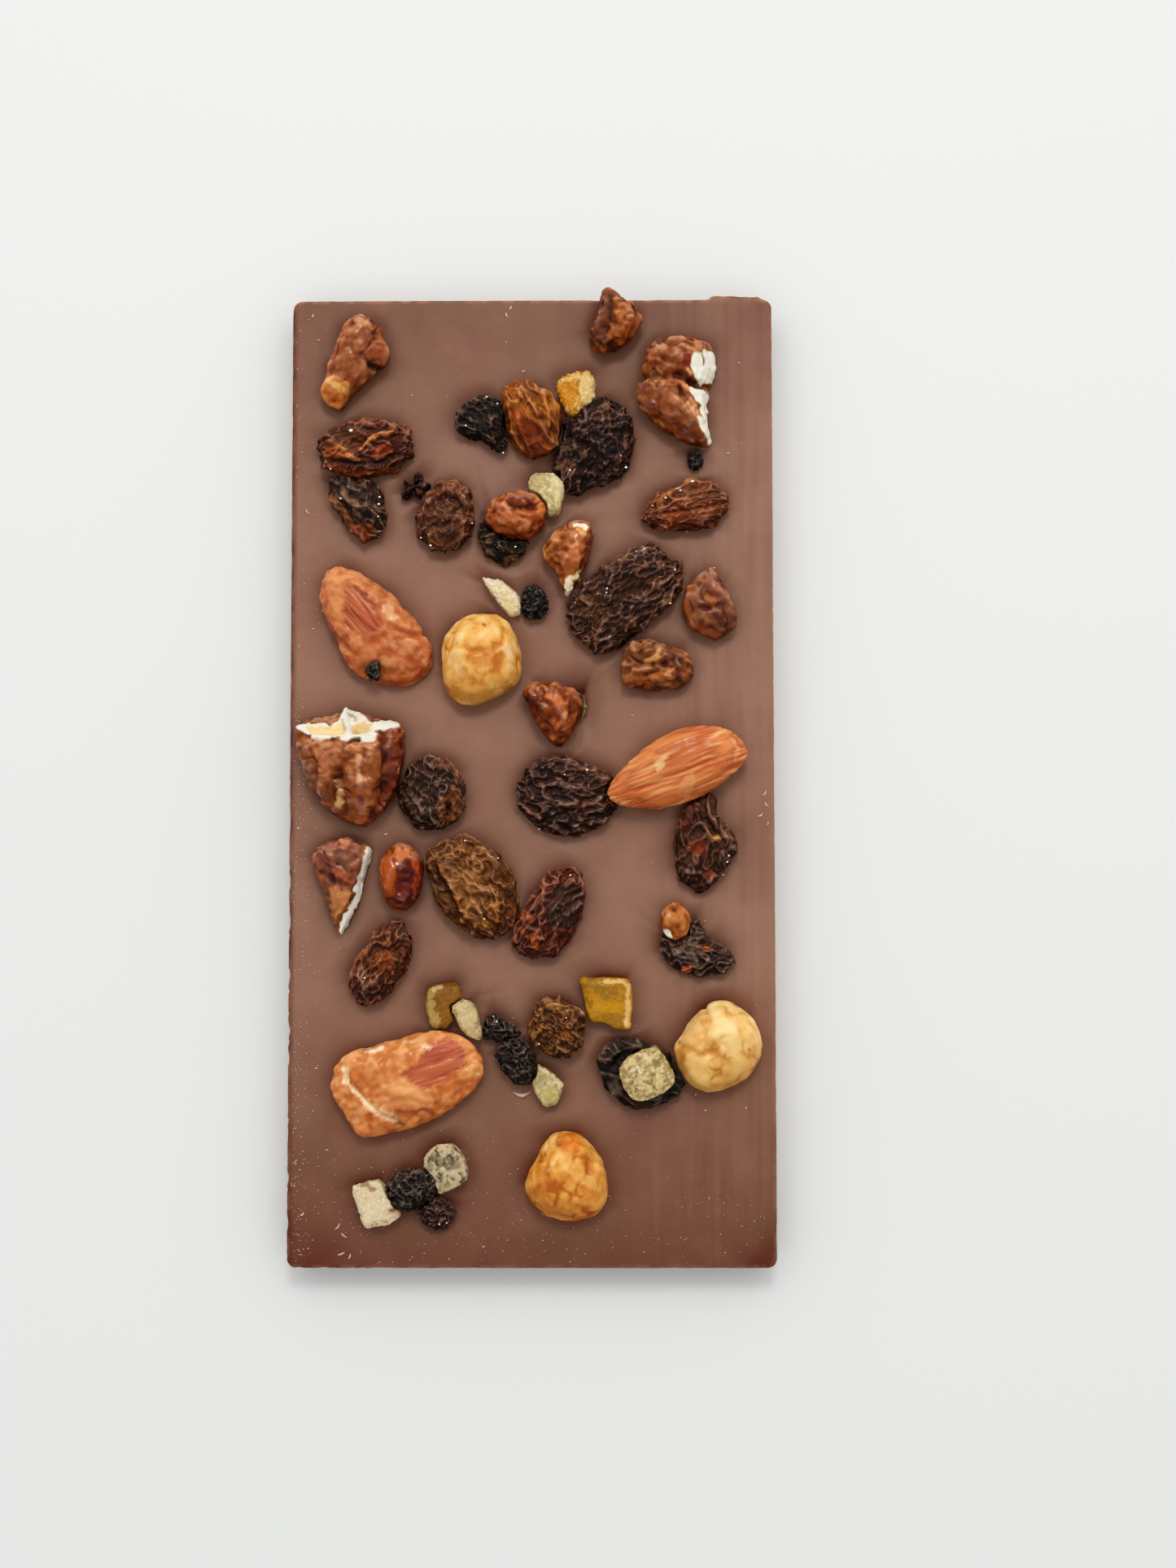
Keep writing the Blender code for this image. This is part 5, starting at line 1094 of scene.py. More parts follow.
# Pieces of glazed nut. Broken kernels tossed in boiling sugar: a craggy crust of red-brown caramel, paler
# where the sugar has grained, and rough cream flesh where a piece broke afterwards.
NUT_CELL, NUT_RAYS = 0.23, (34, 62)
CREAM, WHITE_FLESH = (236, 212, 158), (240, 234, 218)
GLAZED = {
    "nut_01": dict(deep=(108, 50, 24), body=(158, 94, 64), pale=(204, 150, 116), shine=0.35, lumps=0.6,
        pits=0.9, folds=[(-0.7, 0.5, [(-27, 69), (-25, 68.2)]), (-0.3, 0.8, [(-34.4, 67.6), (-33, 69)])],
        areas=[((214, 148, 78), 0.7, 0.5, 0, [(-35.4, 66.2), (-34, 67.4), (-32, 66.8), (-29.8, 65.2),
            (-30.6, 63.6), (-32.2, 61.3), (-34, 62.3), (-35.3, 64.3)]),
          # The cream band is a painted highlight.
          ((240, 204, 150), 0.7, 0.5, 0.6, [(-34, 66.6), (-32.6, 65.6), (-31, 64.6)]),
          ((186, 96, 34), 0.6, 0.5, 0.7, [(-34.2, 64.2), (-32.6, 63.4)]),
          ((136, 52, 12), 0.65, 0.5, 1.1, [(-25.8, 71.8), (-24.8, 70.8)]),
          # The black notch in the groove is painted shade.
          ((34, 12, 8), 0.9, 0.2, 0.4, [(-27, 68.8), (-25.4, 68.4)]),
          ((70, 34, 24), 0.8, 0.2, 0.3, [(-30.6, 77.4), (-29, 77.6), (-27.8, 77)]),
          ((110, 44, 18), 0.7, 0.3, 0.4, [(-26.4, 77), (-25.8, 76.6)]),
          ((120, 46, 18), 0.5, 0.6, 0.5, [(-31.4, 71.8), (-29, 70.6), (-27, 71.4)]),
          ((130, 50, 20), 0.5, 0.6, 0.5, [(-31.4, 67.4), (-29, 66.6)])]),
    "nut_02": dict(deep=(112, 54, 18), body=(166, 96, 48), pale=(208, 144, 90), shine=0.3, lumps=1.2,
        pits=0.6, folds=[(-0.8, 0.7, [(13, 80.6), (12.8, 77), (12, 74)])],
        areas=[((104, 60, 44), 0.85, 0.4, 0, [(11.6, 82.2), (14.2, 81.8), (13.4, 79), (12.8, 75), (12.2, 72),
            (9.6, 73), (9.4, 76.4), (11.4, 78.6)]),
          # The dark line along the groove is painted shade.
          ((52, 24, 16), 0.8, 0.3, 0.35, [(13.2, 80.4), (13, 77.4), (12.4, 74.6)]),
          ((60, 20, 10), 0.7, 0.3, 0.6, [(12.2, 73), (15, 72)])]),
    "nut_03": dict(deep=(112, 56, 14), body=(148, 86, 52), pale=(190, 132, 104), shine=0.5, lumps=1,
        pits=0.25, folds=[(-0.9, 0.6, [(18, 67), (21, 66.9), (24, 67.3), (26.6, 66.6)]),
          (-1.1, 0.7, [(26.8, 66), (29.4, 65.8)]), (0.5, 1.1, [(22, 64.6), (25.4, 61.6), (28.4, 57.8)]),
          (0.5, 1.2, [(22, 71), (25.6, 70)]), (-0.5, 0.25, [(28.6, 71.6), (29, 69.4)]),
          (-0.4, 0.4, [(25.6, 71), (25.6, 68.6)])],
        areas=[((134, 70, 12), 0.75, 0.3, 0, [(18, 63.6), (19.5, 64), (20.5, 62.6), (23, 60.6), (25.4, 59.8),
            (27, 59.4), (28.4, 57.8), (30.2, 55.3), (29.6, 54.6), (26.5, 55.2), (23, 57.6), (20, 59.6)]),
          ((150, 82, 16), 0.7, 0.3, 0, [(18.7, 68.4), (19, 70), (20.4, 71.6), (21, 70.2), (20.6, 68.4)]),
          ((104, 30, 6), 0.75, 0.3, 0.45, [(20.1, 69.4), (20.6, 69.1)]),
          ((98, 32, 6), 0.7, 0.3, 0.5, [(19.6, 63.2), (20.2, 62.2)]),
          ((92, 34, 6), 0.7, 0.3, 0.5, [(23.4, 59.4), (25, 58.4), (27.6, 56.8)]),
          # Pinkish patches on the upper lobe: painted highlights.
          ((190, 124, 98), 0.6, 0.3, 0.6, [(23, 63.6), (23.8, 62.8)]),
          ((200, 140, 110), 0.6, 0.3, 0.35, [(25, 61.6), (25.6, 61)]),
          ((190, 130, 100), 0.6, 0.3, 0.3, [(21.8, 64), (22.2, 63.7)]),
          ((186, 112, 80), 0.6, 0.3, 0.45, [(22.6, 65.8), (24.4, 65.9)]),
          ((228, 170, 124), 0.75, 0.2, 0.35, [(25.2, 65.6), (26.2, 64.9)]),
          ((212, 162, 126), 0.85, 0.3, 0, [(25.6, 62.6), (26.6, 63.4), (27.6, 62.6), (28, 61), (27, 60.4),
            (26.2, 61.2)]),
          ((164, 120, 86), 0.85, 0.2, 0, [(19.8, 59.6), (20.2, 60.2), (21.2, 59.6), (22, 58.8), (21.6, 58.3),
            (20.6, 58.8)]),
          ((196, 152, 112), 0.9, 0.25, 0, [(18.4, 66.6), (19.6, 67.8), (20.8, 68.2), (21.8, 67.6), (21, 66.6),
            (20.4, 65.6), (19.6, 65.7)]),
          ((104, 48, 34), 0.85, 0.15, 0, [(17.4, 64.2), (18, 66), (18.8, 66.2), (19.8, 65.6), (19.4, 64.4),
            (18.2, 63.8)]),
          ((140, 58, 44), 0.9, 0.08, 0, [(24.8, 70.6), (25.4, 71.1), (26.5, 71.3), (26.7, 70.2), (26.4, 69),
            (26.2, 68.2), (25.6, 67.9), (25, 68.6), (25.3, 69.8)]),
          ((226, 176, 140), 0.8, 0.1, 0.28, [(26.1, 68.2), (26.6, 67.6)]),
          ((198, 134, 98), 0.6, 0.2, 0.35, [(26.4, 72), (28, 71.6)]),
          ((190, 136, 96), 0.6, 0.2, 0.3, [(27.2, 73.6), (27.6, 72.4)]),
          (WHITE_FLESH, 1, 0.08, 0, [(26.4, 69), (26.6, 70.4), (27.2, 71.1), (28.3, 71.2), (28.7, 71.9),
            (30, 72.1), (30.8, 71.9), (31, 71), (31.2, 68.8), (31.1, 67.4), (30.2, 66.6), (29.3, 66.4),
            (29.1, 65.6), (28.6, 66.1), (28, 66.3), (27.2, 67.2), (26.9, 68)]),
          (WHITE_FLESH, 1, 0.06, 0, [(26.3, 65), (26.8, 65.4), (27.8, 65.1), (28.9, 65.2), (29.6, 64.1),
            (30.4, 64.5), (29.9, 63.2), (29.6, 62.7), (30.1, 61.9), (29.1, 61.6), (29.5, 60), (29.8, 58),
            (30.5, 55), (29.9, 55.4), (29, 57), (28, 58.4), (27.2, 60.2), (27.6, 60.4), (28.4, 60.2),
            (28, 61.6), (28.2, 62.4), (27.4, 63), (26.6, 64.2)]),
          ((208, 200, 176), 0.7, 0.1, 0.12, [(28.4, 60.4), (28.8, 59.4)]),
          ((212, 204, 182), 0.6, 0.2, 0.4, [(29.6, 68.8), (30.2, 67.4)]),
          ((100, 88, 70), 0.95, 0.04, 0.13, [(28.5, 71.7), (28.8, 70.4), (29, 69.5)]),
          ((66, 20, 12), 0.95, 0.1, 0, [(26.8, 66), (27.3, 66.7), (28, 66.4), (28.2, 65.9), (29, 65.8),
            (28.9, 65.1), (27.6, 65.1), (26.8, 65.6)]),
          ((86, 70, 52), 0.8, 0.1, 0.22, [(25.2, 66.9), (25.8, 66.8)])]),
    "nut_04": dict(deep=(126, 54, 12), body=(170, 92, 42), pale=(210, 140, 96), shine=0.5, lumps=1, pits=0.8,
        folds=[(-0.4, 0.5, [(-4, 45.6), (-1, 45), (1, 45.4)])],
        areas=[((112, 44, 34), 0.75, 0.4, 0.6, [(-3.4, 46.7), (0.2, 46.8)]),
          # The dark line along the groove is painted shade.
          ((50, 14, 8), 0.85, 0.3, 0.2, [(-3.9, 45.5), (-2.6, 45.2), (-0.6, 45.3)]),
          ((222, 150, 118), 0.5, 0.5, 1, [(-4.6, 44.8), (-2.8, 43.2)]),
          ((214, 128, 76), 0.5, 0.5, 0.7, [(1, 46), (1.4, 44.6)]),
          ((160, 92, 22), 0.5, 0.4, 0.8, [(-7, 41.6), (-4, 40.6)])]),
    "nut_05": dict(deep=(116, 54, 16), body=(166, 96, 46), pale=(210, 144, 96), shine=0.5, lumps=1.1,
        pits=0.8, folds=[(-0.4, 0.4, [(3, 37.4), (4.6, 37.8), (5, 39.6)]),
          (0.3, 0.7, [(7.6, 40.6), (7.4, 36)])],
        areas=[((98, 40, 20), 0.75, 0.4, 0.6, [(9.6, 40.6), (9.4, 37), (9, 35.6)]),
          ((206, 120, 72), 0.5, 0.4, 0.8, [(7.2, 38.2), (7, 35.4)]),
          # The dark line along the groove is painted shade.
          ((64, 20, 10), 0.7, 0.4, 0.25, [(3.2, 37.4), (5.2, 38)]),
          ((228, 168, 110), 0.6, 0.3, 0.3, [(1.7, 36.4), (1.8, 37.4), (2.6, 38.2)]),
          ((238, 186, 120), 0.7, 0.4, 0.6, [(8, 41.4), (8.6, 40.8)]),
          ((248, 240, 222), 0.95, 0.2, 0.32, [(7, 42.1), (8.4, 42.3), (9.2, 41.9), (9, 41.5)]),
          ((244, 226, 190), 0.95, 0.3, 0.35, [(8, 34.2), (7.4, 33.3), (6.2, 33.1)]),
          ((246, 232, 200), 0.95, 0.25, 0, [(5.6, 32.9), (6.7, 32.8), (7, 31), (6.4, 30), (5.5, 30.4),
            (5.2, 31.6)])]),
    "nut_06": dict(deep=(86, 42, 28), body=(126, 78, 60), pale=(162, 112, 94), shine=0.35, lumps=0.8,
        pits=0.9, folds=[(-0.5, 0.5, [(28, 28.2), (29.6, 28), (31.4, 28.6)]),
          (-0.4, 0.5, [(28, 29.6), (29, 30.4), (31, 29.8)]), (0.4, 0.6, [(26, 31.6), (25.4, 28), (27, 25)])],
        areas=[((158, 84, 34), 0.65, 0.4, 0.7, [(26.6, 32.6), (25.2, 29), (26, 26.2), (28.2, 24.2),
            (31, 23.6)]), ((72, 22, 14), 0.75, 0.5, 0.5, [(27.6, 28.6), (29.6, 27.6), (31.6, 26)]),
          ((170, 100, 58), 0.6, 0.4, 0.5, [(29, 30.2), (30, 29)]),
          ((150, 92, 80), 0.5, 0.4, 1, [(29.4, 32.4), (31, 30.4)]),
          ((112, 44, 20), 0.6, 0.4, 0.5, [(32.8, 26.4), (33.4, 25.2)])]),
    "nut_07": dict(deep=(96, 50, 24), body=(134, 84, 54), pale=(172, 122, 92), shine=0.35, lumps=1.5,
        pits=0.7, folds=[(-0.5, 0.5, [(18.4, 18.8), (22, 18.6), (25, 17.4)]),
          (-0.4, 0.5, [(17.4, 21.6), (18.4, 19.6)]), (-0.4, 0.5, [(22.6, 21), (23.2, 19.2)])],
        areas=[((220, 166, 112), 0.6, 0.4, 0.4, [(21, 21), (20.6, 19.8), (19, 19.4)]),
          ((168, 92, 30), 0.7, 0.4, 0.5, [(16, 16.4), (19, 16.4), (21.4, 16.8)]),
          ((172, 84, 44), 0.6, 0.3, 0.35, [(22.4, 17.8), (25.4, 17.4)]),
          ((214, 156, 108), 0.55, 0.4, 0.4, [(22.4, 17.2), (23, 16.4)]),
          ((60, 18, 10), 0.75, 0.4, 0.4, [(23.8, 20.2), (24.4, 16.4)]),
          ((156, 88, 22), 0.6, 0.4, 0.5, [(16, 15.4), (19, 15.4)])]),
    "nut_08": dict(deep=(104, 42, 4), body=(142, 70, 14), pale=(186, 110, 54), shine=0.6, lumps=1.2, pits=0.7,
        folds=[(0.4, 0.8, [(2.6, 13.6), (5, 11), (5.6, 7.6)]),
          (-0.4, 0.6, [(-1, 12.6), (1.6, 10.4), (3.4, 7.6)])],
        areas=[((92, 28, 8), 0.75, 0.5, 0, [(-1.8, 13.6), (0.6, 14.4), (1.8, 12.6), (2, 10.4), (0.6, 9.6)]),
          ((206, 118, 70), 0.55, 0.5, 0.8, [(2.8, 13.4), (4.2, 12.8)]),
          ((86, 28, 10), 0.6, 0.3, 0.35, [(6.2, 12.2), (6.4, 10)]),
          ((224, 152, 112), 0.6, 0.3, 0.35, [(5.6, 10.6), (4.4, 8.6)]),
          ((176, 110, 40), 0.5, 0.4, 0.4, [(6.4, 7.6), (5.6, 6.2)])]),
    "nut_09": dict(deep=(110, 54, 12), body=(150, 88, 50), pale=(196, 134, 96), shine=0.5, lumps=1, pits=0.4,
        folds=[(-0.7, 0.7, [(-31.8, 1), (-31.8, -2), (-31, -5.4)]),
          (-0.6, 0.5, [(-24.8, 8), (-24.4, 6), (-24.2, 1), (-24.6, -3.6)]),
          (0.4, 1, [(-33.6, 4), (-34.6, -1)]), (0.45, 1.1, [(-28, -1), (-27.8, -5.6)]),
          (0.4, 0.9, [(-27, 3.6), (-26.4, 0)]), (-1, 0.8, [(-36.4, 8.4), (-33, 8.4), (-31.8, 8.4)]),
          (-1, 0.8, [(-29.2, 8.5), (-27.6, 8.7)]), (0.5, 0.35, [(-31.4, 11.2), (-30.8, 9.6), (-30.4, 7.4)]),
          (0.5, 0.5, [(-32, 10.6), (-31.2, 11.4), (-29.2, 11), (-28, 10.2)]),
          (0.35, 0.4, [(-38.6, 8.4), (-36, 6.9), (-34, 6.8), (-31, 6.4), (-29, 6.9), (-26.4, 6.6)])],
        areas=[((184, 120, 86), 0.6, 0.4, 0, [(-37.4, 6.8), (-33, 6.2), (-27, 5.8), (-25.4, 5.2), (-28, 4.4),
            (-36, 4.2)]), ((126, 86, 62), 0.6, 0.3, 0.6, [(-38.4, 5), (-37.6, 1.6), (-36.8, -1)]),
          ((96, 28, 6), 0.8, 0.3, 0, [(-25.2, 8.2), (-22, 8.6), (-21.2, 4), (-21.6, -1), (-23.4, -4),
            (-25, -4.6), (-24.6, 0), (-25, 4)]), ((168, 84, 36), 0.6, 0.3, 0.5, [(-22.4, 7.8), (-22.6, 6.6)]),
          ((112, 72, 32), 0.6, 0.3, 0.3, [(-24.2, 2), (-24.3, -0.6)]),
          # The dark line along the groove is painted shade.
          ((60, 22, 28), 0.8, 0.3, 0.4, [(-24.8, 5.2), (-24, 3.8)]),
          ((124, 62, 14), 0.65, 0.4, 0.8, [(-32.6, 0.8), (-31, 0.6)]),
          ((120, 60, 12), 0.6, 0.5, 0.8, [(-34.6, -2.4), (-32.8, -5.6)]),
          ((150, 86, 20), 0.5, 0.5, 0.9, [(-27, 2.4), (-26, 3)]),
          ((120, 42, 12), 0.75, 0.3, 0.4, [(-27.6, 4.9), (-27.2, 3.6)]),
          ((92, 34, 14), 0.8, 0.2, 0.2, [(-34, 4.7), (-33.2, 4.8), (-32.8, 5.1)]),
          ((100, 42, 22), 0.75, 0.2, 0.22, [(-31.2, 5.2), (-31.1, 4.2)]),
          ((206, 150, 120), 0.7, 0.3, 0.35, [(-30.4, 5.4), (-28.6, 5.3)]),
          ((210, 170, 138), 0.8, 0.35, 0.35, [(-28.4, 3.6), (-28.7, 1.6), (-28.3, 0.2), (-28.6, -0.8)]),
          ((232, 206, 174), 0.85, 0.4, 0.5, [(-31.9, -0.5), (-31.6, -2.4), (-31.9, -4.4)]),
          ((70, 26, 14), 0.8, 0.2, 0.3, [(-32.4, 0.1), (-31.4, 0.2)]),
          ((84, 24, 18), 0.7, 0.3, 0.45, [(-28.3, -3.2), (-28.1, -3.9)]),
          ((206, 124, 88), 0.55, 0.5, 1, [(-28.2, -6.8), (-27.4, -7.2)]),
          ((200, 134, 102), 0.5, 0.5, 0.9, [(-34.6, 3.4), (-34, 0.4)]),
          ((168, 124, 98), 0.9, 0.3, 0, [(-37.8, 9.7), (-36.4, 11.4), (-35.4, 11.5), (-33.8, 11), (-32, 10.8),
            (-32.4, 9.9), (-33.6, 9.4), (-34.6, 9.8)]),
          ((242, 216, 158), 0.95, 0.15, 0, [(-37.6, 8.8), (-36, 8.9), (-34, 8.9), (-32, 9.7), (-31.2, 8.2),
            (-31, 7.4), (-33, 7.2), (-34.5, 7.4), (-36.5, 7.8)]),
          ((228, 194, 136), 0.9, 0.15, 0, [(-29.9, 9), (-29.2, 9.7), (-27.8, 9.7), (-26.4, 9.4), (-27.4, 8.6),
            (-28, 7.6), (-29, 7.3), (-29.8, 7.9)]),
          ((202, 162, 100), 0.7, 0.2, 0.35, [(-29.3, 8.4), (-28.8, 7.8)]),
          # Grey-green strokes on the broken flesh: painted shadow.
          ((172, 160, 118), 0.8, 0.1, 0.16, [(-31.7, 9.9), (-31.3, 9), (-30.8, 8.2)]),
          ((168, 156, 120), 0.8, 0.1, 0.2, [(-30.9, 10.7), (-30.1, 10.6)]),
          ((178, 166, 128), 0.8, 0.1, 0.22, [(-29.7, 10.4), (-29.5, 10)]),
          # Dark lines in the gaps along the break: painted shade.
          ((64, 26, 16), 0.95, 0.1, 0.2, [(-33, 6.3), (-32.4, 6.4), (-31.8, 6.7)]),
          ((60, 26, 16), 0.95, 0.1, 0.28, [(-30.3, 5.8), (-29.4, 6.4), (-28.5, 6.4)]),
          ((66, 28, 18), 0.9, 0.05, 0.13, [(-25.9, 7.9), (-24.6, 8.2)])]),
    "nut_10": dict(deep=(82, 42, 38), body=(134, 80, 68), pale=(180, 116, 96), shine=0.2, lumps=0.7, pits=0.8,
        folds=[(-0.3, 0.6, [(-34.6, -16), (-31.6, -17.4)])],
        areas=[((192, 138, 88), 0.75, 0.5, 0, [(-33.4, -18), (-29.6, -18.2), (-29.6, -20.4), (-31.4, -24),
            (-32, -26), (-33, -22.6)]), ((108, 56, 62), 0.5, 0.4, 0.9, [(-34.4, -13.4), (-32.8, -15)]),
          ((206, 128, 84), 0.7, 0.4, 0.5, [(-31.2, -10.3), (-30.4, -10.6)]),
          ((190, 104, 84), 0.6, 0.4, 0.5, [(-32.4, -15.2), (-30.6, -16.6), (-29.4, -17.4)]),
          ((34, 18, 16), 0.85, 0.2, 0.3, [(-34.8, -15.4), (-34.4, -15.6)]),
          ((98, 72, 54), 0.5, 0.4, 0.7, [(-31.6, -13.2), (-30.4, -14.4)]),
          ((206, 152, 92), 0.6, 0.4, 0.5, [(-32, -22.2), (-31.4, -23.6)]),
          ((64, 28, 12), 0.7, 0.3, 0.4, [(-32.2, -24.4), (-31.4, -22.6)]),
          ((246, 238, 222), 1, 0.25, 0.42, [(-26.8, -11.6), (-27.3, -14), (-28, -16.5), (-28.5, -18),
            (-28.7, -19.3), (-29.7, -21.5), (-31, -24.2), (-31.5, -26)]),
          ((248, 242, 228), 1, 0.2, 0.75, [(-28.5, -18.4), (-28.3, -18.8)]),
          ((248, 242, 228), 1, 0.2, 0.6, [(-30.9, -24.2), (-30.8, -24.4)])]),
    "nut_11": dict(deep=(100, 34, 2), body=(142, 66, 8), pale=(182, 104, 40), shine=0.75, lumps=0.5, pits=0.3,
        folds=[(0.3, 1, [(-22.6, -13), (-23.4, -18)]), (-0.3, 0.8, [(-20.4, -14.6), (-21.6, -18.6)])],
        areas=[((192, 96, 10), 0.5, 0.5, 0, [(-25.2, -13), (-23.2, -12), (-22, -15), (-22.8, -19.4),
            (-24.6, -20), (-25.2, -17)]),
          # The pale patch at the top is a painted highlight.
          ((214, 130, 78), 0.6, 0.5, 0, [(-22.8, -11.6), (-20.4, -11.4), (-19.8, -13.4), (-22, -14.4)]),
          ((84, 14, 4), 0.85, 0.3, 0, [(-22, -14), (-20.4, -13), (-18.2, -13.8), (-17, -16), (-17.4, -19.4),
            (-19.6, -21.4), (-22.6, -20.8), (-22.4, -17.6)]),
          ((190, 84, 44), 0.5, 0.5, 0.35, [(-19.4, -13.6), (-18.4, -16), (-19.2, -18.6)])]),
    "nut_12": dict(deep=(146, 80, 30), body=(190, 118, 64), pale=(226, 166, 112), shine=0.2, lumps=0.8,
        pits=0.6, areas=[((250, 244, 228), 0.95, 0.2, 0, [(21.7, -24.8), (22.4, -25.3), (23.2, -26.4),
            (22.2, -26.2), (21.5, -25.4)])]),
}
FRACTURE = [(-39.6, 9.3), (-37.5, 9.5), (-34.5, 9.6), (-33.6, 9.2), (-32.2, 10), (-31.9, 11.2), (-31.3, 11.7),
    (-30.6, 11.4), (-29.2, 11.2), (-28.4, 10.4), (-27.4, 10), (-26.6, 9.7), (-24.6, 10), (-24, 10.3),
    (-23.4, 10), (-22.2, 9.8), (-21.5, 9.5), (-22.2, 8.6), (-24, 8), (-24.6, 8.2), (-26, 7.9), (-25.6, 7.6),
    (-25.9, 6.1), (-27.6, 5.8), (-28.6, 5.7), (-28.2, 6.4), (-29.4, 6.6), (-30.4, 6), (-31.2, 6),
    (-31.9, 6.7), (-33, 6.5), (-34, 6.4), (-35, 6.1), (-36.6, 6.6), (-36.2, 7.3), (-37.2, 7.4), (-39.2, 8.4)]


def glazed_finish(name, look):
    """Caramel from deep red-brown to grained pale sugar by height and cloud, with small dark pits and painted
    shade where the relief is low, glossy on its crests, darker in painted shade where it is steep or leans
    from the window, and paler with a painted sheen on crests turned to the window. The flesh at a break has
    none of that, and is creamier in its hollows."""
    material, paint, surface = new_finish(name, {"IOR": 1.45, "Specular IOR Level": 0.14,
                                                 "Coat Roughness": 0.1})
    relief, flesh, lean = (mark(paint, key) for key in ("relief", "flesh", "lean"))
    cooked = relief * 0.5 + cloud(paint, 1.7, 4.0, 2.0) * 0.85 - 0.19
    stops = [(0.24, srgb(*look["deep"])), (0.46, srgb(*look["body"])), (0.76, srgb(*look["pale"]))]
    crust = ramp(cooked, stops)
    crust = dyed(1.0, crust, 0.80, 0.74, 0.58)
    inner = between(rise(relief, 0.25, 0.6), srgb(*CREAM), srgb(*WHITE_FLESH))
    laid = tinted(paint, between(flesh, crust, inner))
    pits = rise(cloud(paint, 0.7, 3.0, 9.0) - relief * 0.16, 0.48, 0.66) * (0.6 * look["pits"])
    # Also darker where the relief is low: painted shade in the cracks.
    pits = 1 - (1 - pits) * rise(relief, -0.06, 0.26)
    laid = dyed(pits * (1 - flesh), laid, 0.36, 0.20, 0.12)
    # Painted shade where it leans from the window and where it is steep.
    laid = dyed((1 - lean) * (1 - flesh), laid, 0.52, 0.38, 0.20)
    laid = dyed(mark(paint, "steep") * (1 - flesh), laid, 0.56, 0.36, 0.20)
    laid = dyed(1 - flesh, laid, 1.34, 1.18, 0.92)
    painted_sheen = rise(lean, 0.6, 1.0) * rise(relief, 0.3, 0.7) * (1 - flesh) * 0.26
    between(painted_sheen, laid, srgb(214, 160, 130)).feeds(surface["Base Color"])
    (cloud(paint, 1.0, 2.0, 3.0) * 0.3 + flesh * 0.3 + 0.2).feeds(surface["Roughness"])
    glints = rise(relief, 0.45, 0.8) * rise(cloud(paint, 1.1, 2.0, 12.0), 0.42, 0.6)
    ((1 - flesh) * glints * (2.4 * look["shine"])).feeds(surface["Coat Weight"])
    bumps(cloud(paint, 0.6, 3.0, 6.0) - pits * 0.3, 0.13, surface)
    return material


for number, (name, look) in enumerate(GLAZED.items()):
    seed = 800 + 20 * number
    points, outward, own = whole_form(name, NUT_CELL, NUT_RAYS)
    flesh = np.zeros(points.shape[:-1])
    if name == "nut_09":
        corners = measured(FRACTURE, points[..., 2].max() - TOP_DEPTH)
        depth = depth_inside(points[..., 0], points[..., 1], corners) + 0.12 * grain(own / 0.5, seed + 11)
        flesh = smooth(depth, -0.08, 0.1) * smooth(outward[..., 2], 0.0, 0.2)
    lumps = grain(own / 2.4, seed)
    crags = grain((own + 0.5 * drift(own / 2.0, seed + 1)) / 1.1, seed + 4)
    cracks = creases(own / 3.4, 0.07, seed + 6) * smooth(grain(own / 3.0, seed + 9), -0.2, 0.5)
    pressed = folded(points, look)
    crust = look["lumps"] * (0.30 * lumps + 0.26 * crags - 0.26 * cracks) - 0.08
    torn = 0.14 * grain(own / 1.0, seed + 7) + 0.10 * grain(own / 0.5, seed + 8)
    height = crust * (1 - flesh) + torn * flesh + pressed
    relief = np.clip(0.5 + 0.45 * lumps + 0.4 * crags - 0.5 * cracks + 0.5 * pressed, 0, 1)
    relief = relief * (1 - flesh) + np.clip(0.75 + 2.0 * torn + 0.8 * pressed, 0, 1) * flesh
    tinting = tints(points, look, seed + 12)
    flesh = np.maximum(flesh, smooth(tinting["tint"][..., 2], 0.35, 0.6))
    crusted = points + outward * height[..., None]
    add_closed("crust_of_" + name, name, crusted,
               {"relief": relief, "flesh": flesh, **leaning(crusted), **tinting},
               glazed_finish(name, look), "glazed_nut")


# Dark berries. Small whole berries and scraps of berry, dried almost black with a purple or blue cast, in
# stiff folds that catch the light.
BERRY_CELL, BERRY_RAYS = 0.18, (24, 44)
BERRIES = {
    "berry_01": dict(valley=(16, 7, 11), skin=(48, 26, 32), ridge=(92, 60, 68), size=1.5),
    "berry_02": dict(valley=(8, 8, 9), skin=(28, 28, 30), ridge=(66, 66, 68), size=0.8),
    "berry_03": dict(valley=(7, 10, 10), skin=(26, 34, 36), ridge=(62, 72, 72), size=0.7),
    "berry_04": dict(valley=(8, 10, 10), skin=(26, 32, 32), ridge=(70, 78, 76), size=1),
    "berry_05": dict(valley=(22, 12, 12), skin=(58, 44, 44), ridge=(96, 84, 84), size=1.6, shine=1,
        # The grey patch is a painted sheen.
        areas=[((112, 104, 104), 0.6, 0.6, 1, [(25, -27), (27.4, -28.4), (26, -30)]),
          ((226, 140, 92), 0.8, 0.3, 0.4, [(28.2, -27.9), (28.8, -28.1)]),
          ((82, 60, 58), 0.6, 0.4, 0.9, [(28.4, -25.6), (31.4, -28.6), (32.4, -29.6)]),
          ((214, 128, 96), 0.8, 0.3, 0.5, [(25.2, -31.6), (25.6, -31.6)])]),
    "berry_06": dict(valley=(9, 8, 10), skin=(34, 33, 37), ridge=(72, 70, 76), size=0.9),
    "berry_07": dict(valley=(10, 8, 10), skin=(36, 30, 34), ridge=(66, 56, 62), size=0.9),
    "berry_08": dict(valley=(9, 7, 9), skin=(32, 27, 30), ridge=(70, 62, 68), size=1.2),
    "berry_09": dict(valley=(18, 9, 9), skin=(52, 32, 30), ridge=(104, 72, 68), size=0.9),
}

